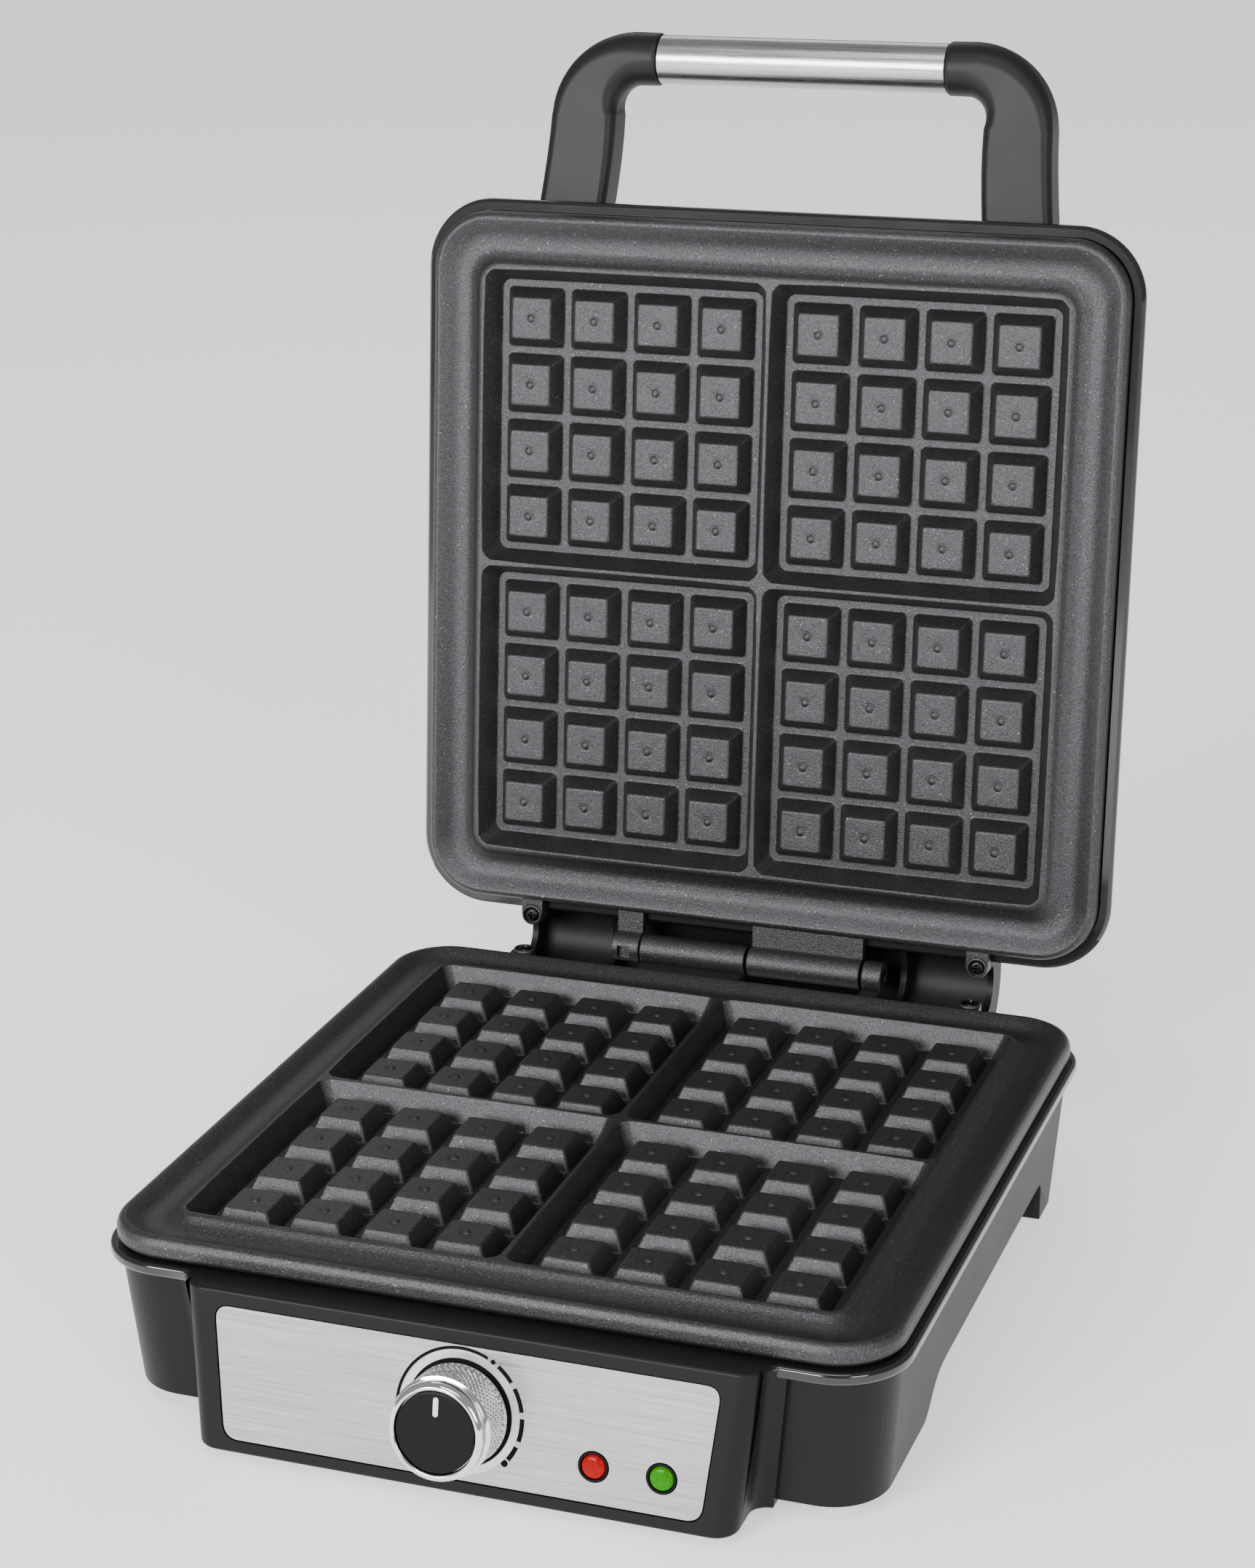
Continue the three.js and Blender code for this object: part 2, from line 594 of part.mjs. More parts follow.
// ---- Assembly -----------------------------------------------------------------------------------
const finishes = {
  castNonStick: { color: 0x2c2d30, roughness: 0.45, metalness: 0.5 },
  satinPlastic: { color: 0x1b1b1d, roughness: 0.5, metalness: 0 },
  glossPlastic: { color: 0x0b0b0c, roughness: 0.15, metalness: 0 },
  brushedSteel: { color: 0xb9babb, roughness: 0.35, metalness: 1 },
  chrome: { color: 0xd8d9da, roughness: 0.08, metalness: 1 },
  zincSteel: { color: 0x8f9194, roughness: 0.4, metalness: 1 },
  darkSteel: { color: 0x1a1a1b, roughness: 0.35, metalness: 0.9 },
  aluminium: { color: 0xc9cbcd, roughness: 0.4, metalness: 1 },
  rubber: { color: 0x202020, roughness: 0.9, metalness: 0 },
  bakelite: { color: 0x3a2c22, roughness: 0.6, metalness: 0 },
  leadSleeve: { color: 0xb8b2a4, roughness: 0.8, metalness: 0 },
  ceramicWhite: { color: 0xe6e2d8, roughness: 0.7, metalness: 0 },
};

function piece(name, manifold, finish, color) {
  const mesh = new THREE.Mesh(geometryOf(manifold), new THREE.MeshStandardMaterial({ ...finishes[finish] }));
  if (color !== undefined) mesh.material.color.setHex(color);
  mesh.name = name;
  return mesh;
}

function placed(mesh, x, y, z) {
  mesh.position.set(x, y, z);
  return mesh;
}

const machine = new THREE.Group();
machine.position.y = ASSEMBLY_Y;

const base = new THREE.Group();
base.add(piece('base_housing', baseHousing(), 'satinPlastic'));
base.add(piece('bottom_cover', bottomCover(), 'satinPlastic'));
base.add(piece('lower_baking_plate', bakingPlate([[-42.5, -0.5], [46, 53.5]]), 'castNonStick'));
base.add(piece('lower_heating_element', heatingElement(ELEMENT_Z), 'zincSteel'));
base.add(piece('lower_heat_reflector', heatReflector(REFLECTOR_Z, 1), 'aluminium'));
base.add(piece('hinge_pin', bar(PIN_R, -53.6, 53.2, HINGE_Y, HINGE_Z, 16), 'zincSteel'));
base.add(piece('terminal_block', box(-86, -54, 92, 108, 23, 35), 'ceramicWhite'));
base.add(piece('cord_inlet_bush', join([rod(6, 122, 138, -70, 34), rod(9, 132.2, 138, -70, 34)])
  .subtract(rod(3.6, 118, 142, -70, 34)), 'rubber'));
const thermalCutout = join([post(7, 41.2, 49.8, 0, 40), box(-4, 4, 30, 50, 40.6, 41.4)]);
base.add(piece('thermal_cutout', thermalCutout, 'aluminium'));
base.add(piece('supply_lead', lead([
  [-78, 91.2, 29],
  [-82, 78, 29],
  [-100, 50, 29],
  [-100, -60, 29],
  [-60, -104, 29],
  [-20, -112, 28],
  [-8, -119.2, 27],
]), 'leadSleeve'));
base.add(piece('lamp_lead', lead([
  [8, -119.2, 27],
  [14, -115, 28],
  [28, -116, 28],
  [42, -122, 26],
  [46.5, -129, 21],
  [44.6, -133.8, 17.6],
]), 'leadSleeve'));
FOOT_PLACES.forEach(([place, x, y]) => {
  base.add(placed(piece(`foot_${place}`, rubberFoot(), 'rubber'), x, y, 0));
});
COVER_SCREWS.forEach(([place, x, y]) => {
  const fastener = piece(`cover_screw_${place}`, screw(3, 1.8, 1.5, 10), 'zincSteel');
  fastener.rotation.x = Math.PI;
  base.add(placed(fastener, x, y, COVER_Z - GAP));
});
[['left', -1], ['right', 1]].forEach(([side, s]) => {
  const plateScrew = piece(`lower_plate_screw_${side}`, screw(2.7, 1.4, 1.4, 14), 'darkSteel');
  base.add(placed(plateScrew, s * TAB_X, TAB_Y, SCREW_SEAT_Z));
});
machine.add(base);

const panel = new THREE.Group();
panel.applyMatrix4(panelFrame);
panel.add(piece('control_panel', controlPanel(), 'brushedSteel'));
panel.add(piece('thermostat_body', thermostatBody(), 'bakelite'));
LAMPS.forEach(([colour, x, hex]) => {
  panel.add(placed(piece(`${colour}_lamp_lens`, lampLens(), 'glossPlastic', hex), x, -LAMP_DROP, 0));
  panel.add(placed(piece(`${colour}_lamp_holder`, lampHolder(), 'glossPlastic'), x, -LAMP_DROP, 0));
});
panel.add(piece('thermostat_shaft', thermostatShaft(), 'zincSteel'));
panel.add(piece('knob', knob(), 'chrome'));
panel.add(piece('knob_cap', knobCap(), 'satinPlastic'));
base.add(panel);

// the lid group's origin is on the hinge pin, so the lid's pieces are shifted back by the pin's place
const lid = new THREE.Group();
lid.position.set(0, HINGE_Y, HINGE_Z);
lid.rotation.x = -LID_OPEN;
const lidParts = new THREE.Group();
lidParts.position.set(0, -HINGE_Y, -HINGE_Z);
lidParts.add(piece('lid_housing', lidHousing(), 'glossPlastic'));
lidParts.add(piece('lid_cover_plate', lidCover(), 'brushedSteel'));
lidParts.add(piece('upper_baking_plate', upperPlate([[-54, -43], [0.5, 45]]), 'castNonStick'));
lidParts.add(piece('upper_heating_element', heatingElement(2 * PARTING_Z - ELEMENT_Z), 'zincSteel'));
lidParts.add(piece('upper_heat_reflector', heatReflector(2 * PARTING_Z - REFLECTOR_Z - 1, 1), 'aluminium'));
lidParts.add(piece('handle_tube', handleTube(), 'brushedSteel'));
[['left', -1], ['right', 1]].forEach(([side, s]) => {
  lidParts.add(piece(`handle_arm_${side}`, handleArm(s), 'satinPlastic'));
  const armScrew = piece(`handle_screw_${side}`, screw(3.4, 2, 1.6, 26), 'zincSteel');
  armScrew.rotation.x = -Math.PI / 2;
  lidParts.add(placed(armScrew, s * ARM_X, -126.9, ARM_ROOT_Z));
  const plateScrew = piece(`upper_plate_screw_${side}`, screw(2.7, 1.4, 1.4, 14), 'darkSteel');
  plateScrew.rotation.x = Math.PI;
  lidParts.add(placed(plateScrew, s * TAB_X, TAB_Y, 2 * PARTING_Z - SCREW_SEAT_Z));
});
lid.add(lidParts);
machine.add(lid);

export default machine;
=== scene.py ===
"""Looks of the waffle maker with four square fields: a base with a panel, a hinged lid and a bail handle.

Pieces are built in millimetres in the frame of the plates: the origin is on the plates' middle, +Z is up and
the front looks towards -Y. The lid's pieces are built closed and turned open about the hinge pin.
"""

import json
import math

import bmesh
import bpy
from mathutils import Matrix, Vector

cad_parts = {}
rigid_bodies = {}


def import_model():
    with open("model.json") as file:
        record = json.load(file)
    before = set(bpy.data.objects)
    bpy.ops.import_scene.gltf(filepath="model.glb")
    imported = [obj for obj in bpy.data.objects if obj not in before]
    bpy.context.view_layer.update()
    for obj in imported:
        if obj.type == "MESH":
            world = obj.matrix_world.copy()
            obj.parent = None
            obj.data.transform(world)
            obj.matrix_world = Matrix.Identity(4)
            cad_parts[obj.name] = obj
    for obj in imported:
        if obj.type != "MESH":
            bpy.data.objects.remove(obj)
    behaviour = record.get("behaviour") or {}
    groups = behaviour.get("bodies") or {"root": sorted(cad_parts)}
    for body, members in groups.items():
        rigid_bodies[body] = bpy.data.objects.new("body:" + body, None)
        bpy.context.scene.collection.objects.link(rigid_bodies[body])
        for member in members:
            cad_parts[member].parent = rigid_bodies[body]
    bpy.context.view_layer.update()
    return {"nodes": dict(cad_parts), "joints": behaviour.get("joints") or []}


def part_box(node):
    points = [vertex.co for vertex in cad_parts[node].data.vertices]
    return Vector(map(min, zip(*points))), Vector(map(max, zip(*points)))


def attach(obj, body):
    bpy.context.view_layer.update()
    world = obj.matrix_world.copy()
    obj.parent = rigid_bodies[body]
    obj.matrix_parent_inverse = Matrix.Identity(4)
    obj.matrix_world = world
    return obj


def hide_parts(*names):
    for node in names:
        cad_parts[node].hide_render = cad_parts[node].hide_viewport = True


for leftover in list(bpy.data.objects):
    bpy.data.objects.remove(leftover)
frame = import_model()

# ---- Driving dimensions, in millimetres ----------------------------------------------------------
PITCH = 25
PEGS = 4
FIRST_PEG = 18.45
PEG_TOP_HALF = 7.65
PEG_FOOT_HALF = 11.05
FLOOR_Z = 55.5
PEG_Z = 62.5
RIDGE_Z = 64.4
PARTING_Z = 64.6
SKIRT_Z = 56.4
FIELD_MID = FIRST_PEG + 1.5 * PITCH
FIELD_HALF = 51.55
RIDGE_HALF = 111.7
DIVIDER_HALF = 0.7

HINGE_Y = 146
BARREL_R = 5.75
PIN_R = 2.5
GAP = 0.3
TAB_X = 89
TAB_Y = 138
TAB_R = 4.2
SCREW_SEAT_Z = 62.4
SCREW_BORE_R = 1.9
EAR_INNER_X = 57
EAR_OUTER_X = 93
EAR_R = 24

FLANGE_Z = 56
FLANGE_HALF = 135
WALL = 2.8
CONSOLE_Z = 3.3
INLET_X = -70
INLET_Z = 34
PANEL_TILT = math.radians(10)
PANEL_HALF_TOP = 84
PANEL_HALF_BOTTOM = 79.5
PANEL_HALF_HEIGHT = 21.7
PANEL_FACE = -0.2
LAMP_DROP = 9.9
LAMPS = {"red": 44.6, "green": 66.6}
KNOB_R = 16.5

LID_RIM_Z = 71.2
LID_RIM_HALF = 137
LID_TOP_Z = 108.5
HANDLE_Z = 100.2
HANDLE_Y = -189
ARM_X = 85.5
ARM_LEAN = 2.3
ARM_ROOT_Y = -135.3
ARM_ROOT_Z = 93.7
TUBE_HALF = 55
TUBE_R = 9

SIDES = (-1, 1)
CORNERS = ((1, 1), (-1, 1), (-1, -1), (1, -1))

# ---- Spaces: from millimetres in the plates' frame to metres in the row frame --------------------
JOINTS = {joint["name"]: joint for joint in frame["joints"]}
HINGE = Vector(JOINTS["lid_hinge"]["pos_m"])
LID_OPEN = math.radians(JOINTS["lid_hinge"]["range_deg"][1])
PANEL_ORIGIN = Vector(JOINTS["knob_turn"]["pos_m"])
HINGE_Z = HINGE.z * 1000
BASE_SPACE = Matrix.Translation((0, HINGE.y - HINGE_Y / 1000, 0)) @ Matrix.Scale(0.001, 4)
LID_SPACE = (
    Matrix.Translation(HINGE)
    @ Matrix.Rotation(-LID_OPEN, 4, "X")
    @ Matrix.Translation(-HINGE)
    @ BASE_SPACE
)
PANEL_SPACE = (
    Matrix.Translation(PANEL_ORIGIN)
    @ Matrix.Rotation(math.pi / 2 - PANEL_TILT, 4, "X")
    @ Matrix.Scale(0.001, 4)
)
PANEL_IN_BASE = BASE_SPACE.inverted() @ PANEL_SPACE
PANEL_Y = PANEL_IN_BASE.translation.y
PANEL_Z = PANEL_IN_BASE.translation.z


# ---- Outlines ------------------------------------------------------------------------------------
def soften(points, reach, steps=4, closed=False):
    """Rounds the corners of a line of points. reach, one number or a list, is how far from a corner its round
    starts."""
    points = [Vector(point) for point in points]
    reaches = reach if isinstance(reach, (list, tuple)) else [reach] * len(points)
    out = []
    for i, point in enumerate(points):
        end_point = not closed and i in (0, len(points) - 1)
        if end_point or reaches[i] == 0:
            out.append(point)
            continue
        before = points[i - 1] - point
        after = points[(i + 1) % len(points)] - point
        cut = min(reaches[i], before.length * 0.5, after.length * 0.5)
        start = point + before * (cut / before.length)
        end = point + after * (cut / after.length)
        for k in range(steps + 1):
            t = k / steps
            out.append(start * (1 - t) ** 2 + point * (2 * t * (1 - t)) + end * t * t)
    return out


def rounded_rectangle(half_x, half_y, radius, steps=14):
    """Outline of a rectangle with round corners, anticlockwise."""
    ring = []
    for corner, (sx, sy) in enumerate(CORNERS):
        for i in range(steps + 1):
            angle = math.pi / 2 * (corner + i / steps)
            x = sx * (half_x - radius) + radius * math.cos(angle)
            y = sy * (half_y - radius) + radius * math.sin(angle)
            ring.append((x, y))
    return ring


def arc(radius, start, end, steps, centre=(0, 0)):
    """Points of an arc, with angles in degrees."""
    points = []
    for i in range(steps + 1):
        angle = math.radians(start + (end - start) * i / steps)
        points.append((centre[0] + radius * math.cos(angle), centre[1] + radius * math.sin(angle)))
    return points


# ---- Solids --------------------------------------------------------------------------------------
def solid(points, faces):
    """A mesh object from points and faces, with its doubles merged and its faces pointing out."""
    mesh = bpy.data.meshes.new("part")
    mesh.from_pydata([tuple(point) for point in points], [], faces)
    work = bmesh.new()
    work.from_mesh(mesh)
    bmesh.ops.remove_doubles(work, verts=work.verts, dist=1e-4)
    bmesh.ops.recalc_face_normals(work, faces=work.faces)
    work.to_mesh(mesh)
    work.free()
    obj = bpy.data.objects.new("part", mesh)
    bpy.context.scene.collection.objects.link(obj)
    return obj


def skin(rings, looped=False):
    """Points and faces over a stack of equal rings. The stack ends in flat faces or meets itself."""
    count = len(rings[0])
    points = [point for ring in rings for point in ring]
    faces = []
    for k in range(len(rings) - (0 if looped else 1)):
        low = k * count
        high = (k + 1) % len(rings) * count
        for i in range(count):
            j = (i + 1) % count
            faces.append((low + i, low + j, high + j, high + i))
    if not looped:
        faces.append(tuple(reversed(range(count))))
        faces.append(tuple(range(len(points) - count, len(points))))
    return points, faces


def square_loft(sections, steps=14, looped=False):
    """Solid through rounded squares, each (half width, corner radius, z)."""
    rings = []
    for half, radius, z in sections:
        rings.append([(x, y, z) for x, y in rounded_rectangle(half, half, radius, steps)])
    return solid(*skin(rings, looped))


def prism(outline, low, high):
    """Outline in the X-Y plane, from one height to another."""
    rings = [[(x, y, z) for x, y in outline] for z in (low, high)]
    return solid(*skin(rings))


def side_prism(outline, x0, x1):
    """Outline in the Y-Z plane, extruded along X."""
    rings = [[(x, y, z) for y, z in outline] for x in (x0, x1)]
    return solid(*skin(rings))


def block(x0, x1, y0, y1, z0, z1):
    return prism([(x1, y1), (x0, y1), (x0, y0), (x1, y0)], z0, z1)


def turned(profile, sides=48, looped=False):
    """Solid of revolution about +Z from (radius, z) points. It ends on the axis, or is a ring when looped."""
    rings = []
    for radius, z in profile:
        ring = []
        for i in range(sides):
            angle = 2 * math.pi * i / sides
            ring.append((radius * math.cos(angle), radius * math.sin(angle), z))
        rings.append(ring)
    return solid(*skin(rings, looped))


def rod(radius, low, high, sides=24):
    """Plain round rod along +Z."""
    return turned([(0, low), (radius, low), (radius, high), (0, high)], sides)


def pipe_profile(inner, outer, low, high, edge=0.3, steps=3):
    """Closed profile of a straight pipe with rounded edges."""
    corners = [(inner, low), (outer, low), (outer, high), (inner, high)]
    return soften(corners, edge, steps, closed=True)


def moved(obj, x=0.0, y=0.0, z=0.0, turn=None):
    """Turns the mesh, then shifts it."""
    matrix = Matrix.Translation((x, y, z))
    if turn is not None:
        matrix = matrix @ turn
    obj.data.transform(matrix)
    return obj


ALONG_X = Matrix.Rotation(math.pi / 2, 4, "Y")
ALONG_Y = Matrix.Rotation(-math.pi / 2, 4, "X")


def apply_modifiers(obj):
    depsgraph = bpy.context.evaluated_depsgraph_get()
    mesh = bpy.data.meshes.new_from_object(obj.evaluated_get(depsgraph))
    obj.modifiers.clear()
    obj.data = mesh
    return obj


def boolean(obj, tools, operation):
    for tool in tools:
        modifier = obj.modifiers.new("boolean", "BOOLEAN")
        modifier.operation = operation
        modifier.solver = "MANIFOLD"
        modifier.object = tool
    apply_modifiers(obj)
    for tool in tools:
        bpy.data.objects.remove(tool)
    return obj


def join(obj, *tools):
    return boolean(obj, tools, "UNION")


def cut(obj, *tools):
    return boolean(obj, tools, "DIFFERENCE")


def bevelled(obj, width, segments=2, angle=40):
    """Rounds the edges that are sharper than the angle."""
    modifier = obj.modifiers.new("bevel", "BEVEL")
    modifier.width = width
    modifier.segments = segments
    modifier.limit_method = "ANGLE"
    modifier.angle_limit = math.radians(angle)
    modifier.use_clamp_overlap = True
    return apply_modifiers(obj)


def piece(obj, name, body, nodes, material, space, smooth_angle=38):
    """Names a finished mesh, moves it to the row frame and ties it to its body and CAD nodes."""
    obj.name = name
    obj.data.name = name
    obj.data.transform(space)
    obj.data.update()
    obj.data.polygons.foreach_set("use_smooth", [True] * len(obj.data.polygons))
    obj.data.polygons.foreach_set("material_index", [0] * len(obj.data.polygons))
    obj.data.set_sharp_from_angle(angle=math.radians(smooth_angle))
    weighted = obj.modifiers.new("normals", "WEIGHTED_NORMAL")
    weighted.keep_sharp = True
    obj.data.materials.clear()
    for item in material if isinstance(material, (list, tuple)) else [material]:
        obj.data.materials.append(item)
    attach(obj, body)
    if nodes:
        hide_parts(*nodes)
    return obj


# ---- Materials -----------------------------------------------------------------------------------
class Finish:
    """A principled material. Layers of noise vary its colour and roughness and lift its surface."""

    def __init__(self, name, color, roughness, metallic=0.0, **sockets):
        self.material = bpy.data.materials.new(name)
        self.material.use_nodes = True
        self.tree = self.material.node_tree
        self.shader = self.tree.nodes["Principled BSDF"]
        self.color = color
        self.roughness = roughness
        self.shader.inputs["Metallic"].default_value = metallic
        for socket, value in sockets.items():
            self.shader.inputs[socket.replace("_", " ")].default_value = value
        self.place = self.node("ShaderNodeTexCoord").outputs["Object"]
        self.color_sum = None
        self.rough_sum = None
        self.normal = None
        self.material.diffuse_color = (*color, 1)

    def node(self, kind, **settings):
        made = self.tree.nodes.new(kind)
        for key, value in settings.items():
            setattr(made, key, value)
        return made

    def wire(self, source, target):
        self.tree.links.new(source, target)

    def math(self, operation, *values, clamp=False):
        made = self.node("ShaderNodeMath", operation=operation, use_clamp=clamp)
        for i, value in enumerate(values):
            if isinstance(value, (int, float)):
                made.inputs[i].default_value = value
            else:
                self.wire(value, made.inputs[i])
        return made.outputs[0]

    def noise(self, per_mm, detail=3.0, rough=0.55, turn_x=0.0, seed=0.0):
        """Noise with so many features per millimetre, one number or one for each axis."""
        mapping = self.node("ShaderNodeMapping")
        scales = per_mm if isinstance(per_mm, (list, tuple)) else [per_mm] * 3
        mapping.inputs["Scale"].default_value = [1000 * s for s in scales]
        mapping.inputs["Rotation"].default_value[0] = turn_x
        mapping.inputs["Location"].default_value = [seed] * 3
        self.wire(self.place, mapping.inputs["Vector"])
        texture = self.node("ShaderNodeTexNoise")
        texture.inputs["Scale"].default_value = 1.0
        texture.inputs["Detail"].default_value = detail
        texture.inputs["Roughness"].default_value = rough
        self.wire(mapping.outputs[0], texture.inputs["Vector"])
        return texture.outputs["Fac"]

    def add(self, sum_so_far, factor, share, middle):
        centred = self.math("MULTIPLY_ADD", factor, share, -share * middle)
        return centred if sum_so_far is None else self.math("ADD", sum_so_far, centred)

    def layer(self, factor, color=0.0, rough=0.0, height=0.0, middle=0.5):
        """A pattern from 0 to 1 that shifts colour and roughness by a share and the surface by millimetres.
        middle is the pattern's value that shifts nothing."""
        if color:
            self.color_sum = self.add(self.color_sum, factor, color, middle)
        if rough:
            self.rough_sum = self.add(self.rough_sum, factor, rough, middle)
        if height:
            bump = self.node("ShaderNodeBump")
            bump.inputs["Distance"].default_value = height / 1000
            self.wire(factor, bump.inputs["Height"])
            if self.normal is not None:
                self.wire(self.normal, bump.inputs["Normal"])
            self.normal = bump.outputs[0]
        return self

    def spots(self, factor, low, high):
        """The part of a pattern between two levels, from 0 to 1."""
        spread = self.node("ShaderNodeMapRange")
        spread.inputs["From Min"].default_value = low
        spread.inputs["From Max"].default_value = high
        self.wire(factor, spread.inputs["Value"])
        return spread.outputs[0]

    def done(self):
        self.shader.inputs["Base Color"].default_value = (*self.color, 1)
        self.shader.inputs["Roughness"].default_value = self.roughness
        if self.color_sum is not None:
            tint = self.node("ShaderNodeVectorMath", operation="SCALE")
            tint.inputs[0].default_value = self.color
            self.wire(self.math("ADD", self.color_sum, 1.0), tint.inputs["Scale"])
            self.wire(tint.outputs[0], self.shader.inputs["Base Color"])
        if self.rough_sum is not None:
            self.wire(
                self.math("ADD", self.rough_sum, self.roughness, clamp=True),
                self.shader.inputs["Roughness"],
            )
        if self.normal is not None:
            self.wire(self.normal, self.shader.inputs["Normal"])
        return self.material


def cast_coating():
    """Dark non-stick coating with a fine metallic grain and a few light specks."""
    coat = Finish("cast_coating", (0.060, 0.061, 0.064), 0.38, 0.75)
    coat.layer(coat.noise(0.02, 2), color=0.15, rough=0.05)
    grain = coat.spots(coat.noise(1.5, 3, 0.8), 0.3, 0.7)
    coat.layer(grain, color=1.1, rough=0.1, height=0.07)
    coat.layer(coat.noise(3.0, 1, seed=7), height=0.02)
    specks = coat.spots(coat.noise(1.1, 1, seed=3), 0.70, 0.76)
    coat.layer(specks, color=2.0, middle=0)
    return coat.done()


def moulded(name, color, roughness, grain_mm, **sockets):
    """Moulded black plastic with a grain so deep."""
    plastic = Finish(name, color, roughness, 0.0, **sockets)
    plastic.layer(plastic.noise(0.03, 3), color=0.25, rough=0.06)
    plastic.layer(plastic.noise(2.2, 2, 0.6), color=0.12, rough=0.08, height=grain_mm)
    plastic.layer(plastic.noise(0.015, 1, seed=4), height=0.05)
    return plastic.done()


def brushed(name, color, roughness, along, across, turn_x=0.0, depth=0.012):
    """Steel brushed along X: fine streaks in colour, roughness and relief."""
    steel = Finish(name, color, roughness, 1.0)
    steel.layer(steel.noise((along, across, across), 4, 0.75, turn_x), color=1.5, rough=0.25, height=depth)
    steel.layer(steel.noise((along / 4, across / 3, across / 3), 2, 0.6, turn_x, 5), color=0.3, rough=0.1)
    steel.layer(steel.noise(0.012, 2, seed=9), color=0.08, rough=0.05)
    return steel.done()


def turned_steel(name, color, roughness):
    """Steel brushed in circles round the knob's axis."""
    steel = Finish(name, color, roughness, 1.0)
    to_panel = steel.node("ShaderNodeMapping")
    to_panel.vector_type = "TEXTURE"
    to_panel.inputs["Location"].default_value = PANEL_ORIGIN
    to_panel.inputs["Rotation"].default_value[0] = math.pi / 2 - PANEL_TILT
    steel.wire(steel.place, to_panel.inputs["Vector"])
    flat = steel.node("ShaderNodeVectorMath", operation="MULTIPLY")
    flat.inputs[1].default_value = (1, 1, 0)
    steel.wire(to_panel.outputs[0], flat.inputs[0])
    reach = steel.node("ShaderNodeVectorMath", operation="LENGTH")
    steel.wire(flat.outputs[0], reach.inputs[0])
    rings = steel.node("ShaderNodeTexNoise", noise_dimensions="1D")
    rings.inputs["Scale"].default_value = 4000
    rings.inputs["Detail"].default_value = 2
    steel.wire(reach.outputs["Value"], rings.inputs["W"])
    steel.layer(rings.outputs["Fac"], color=0.3, rough=0.12, height=0.012)
    return steel.done()


def polished_metal(name, color, roughness, grain=0.004):
    metal = Finish(name, color, roughness, 1.0)
    metal.layer(metal.noise(0.05, 2), color=0.06, rough=0.04)
    metal.layer(metal.noise(1.5, 2, seed=2), rough=0.05, height=grain)
    return metal.done()


def lens_glass(name, color, glow):
    """Coloured lamp lens with fine moulded facets under a clear surface."""
    lens = Finish(name, color, 0.22, 0.0, Coat_Weight=0.1, Coat_Roughness=0.04, Specular_IOR_Level=0.1)
    lens.shader.inputs["Emission Color"].default_value = (*glow, 1)
    lens.shader.inputs["Emission Strength"].default_value = 0.06
    cells = lens.node("ShaderNodeTexVoronoi")
    cells.inputs["Scale"].default_value = 900
    lens.wire(lens.place, cells.inputs["Vector"])
    lens.layer(cells.outputs["Distance"], color=0.4, height=0.08)
    return lens.done()


MATERIALS = {
    "coating": cast_coating(),
    "satin": moulded("satin_black", (0.009, 0.0088, 0.0094), 0.42, 0.010, Specular_IOR_Level=0.16),
    "gloss": moulded("gloss_black", (0.008, 0.008, 0.009), 0.13, 0.001, Coat_Weight=0.5, Coat_Roughness=0.05),
    "arm": moulded("soft_black", (0.010, 0.010, 0.0105), 0.45, 0.012, Specular_IOR_Level=0.25),
    "cap": moulded("cap_black", (0.006, 0.006, 0.0065), 0.42, 0.006, Specular_IOR_Level=0.12),
    "rubber": moulded("rubber", (0.02, 0.02, 0.02), 0.8, 0.03),
    "panel": brushed("panel_steel", (0.48, 0.48, 0.485), 0.30, 0.022, 2.4, PANEL_TILT, 0.02),
    "cover": brushed("cover_steel", (0.60, 0.60, 0.605), 0.32, 0.035, 3.0, LID_OPEN),
    "tube": brushed("tube_steel", (0.47, 0.467, 0.46), 0.26, 0.03, 2.6, 0.0, 0.006),
    "bezel": turned_steel("bezel_steel", (0.72, 0.72, 0.725), 0.3),
    "chrome": polished_metal("chrome", (0.82, 0.825, 0.83), 0.07),
    "zinc": polished_metal("zinc_steel", (0.42, 0.43, 0.44), 0.38, 0.02),
    "aluminium": polished_metal("aluminium", (0.72, 0.73, 0.74), 0.34, 0.02),
    "rod": polished_metal("heating_rod", (0.22, 0.22, 0.23), 0.45, 0.03),
    "dark_steel": polished_metal("dark_steel", (0.035, 0.035, 0.037), 0.32, 0.01),
    "white_ink": moulded("white_ink", (0.78, 0.78, 0.77), 0.5, 0.004),
    # This black serves both the printed scale and the painted shadow ring round the knob's foot.
    "print_and_shadow_black": moulded("print_and_shadow_black", (0.006, 0.006, 0.006), 0.6, 0.004, Specular_IOR_Level=0.05),
    "bakelite": moulded("bakelite", (0.10, 0.05, 0.03), 0.5, 0.02),
    "ceramic": moulded("ceramic", (0.78, 0.75, 0.69), 0.55, 0.03),
    "sleeve": moulded("lead_sleeve", (0.55, 0.52, 0.46), 0.75, 0.08),
    "red": lens_glass("red_lens", (0.26, 0.0, 0.0), (1.0, 0.0, 0.0)),
    "green": lens_glass("green_lens", (0.018, 0.17, 0.0), (0.05, 0.5, 0.0)),
}


# ---- Baking plates -------------------------------------------------------------------------------
CELL_REACH = 3.0  # how far the corner points of a cell's edge lie from its corners


def cell_edge(half):
    """Square outline whose points match the neighbouring cells'."""
    near = half - CELL_REACH
    between = near + CELL_REACH * math.tan(math.pi / 8)
    ring = []
    for corner, (sx, sy) in enumerate(CORNERS):
        points = [(half, near), (half, between), (half, half), (between, half), (near, half)]
        if corner % 2:
            points.reverse()
        ring += [(sx * x, sy * y) for x, y in points]
    return ring


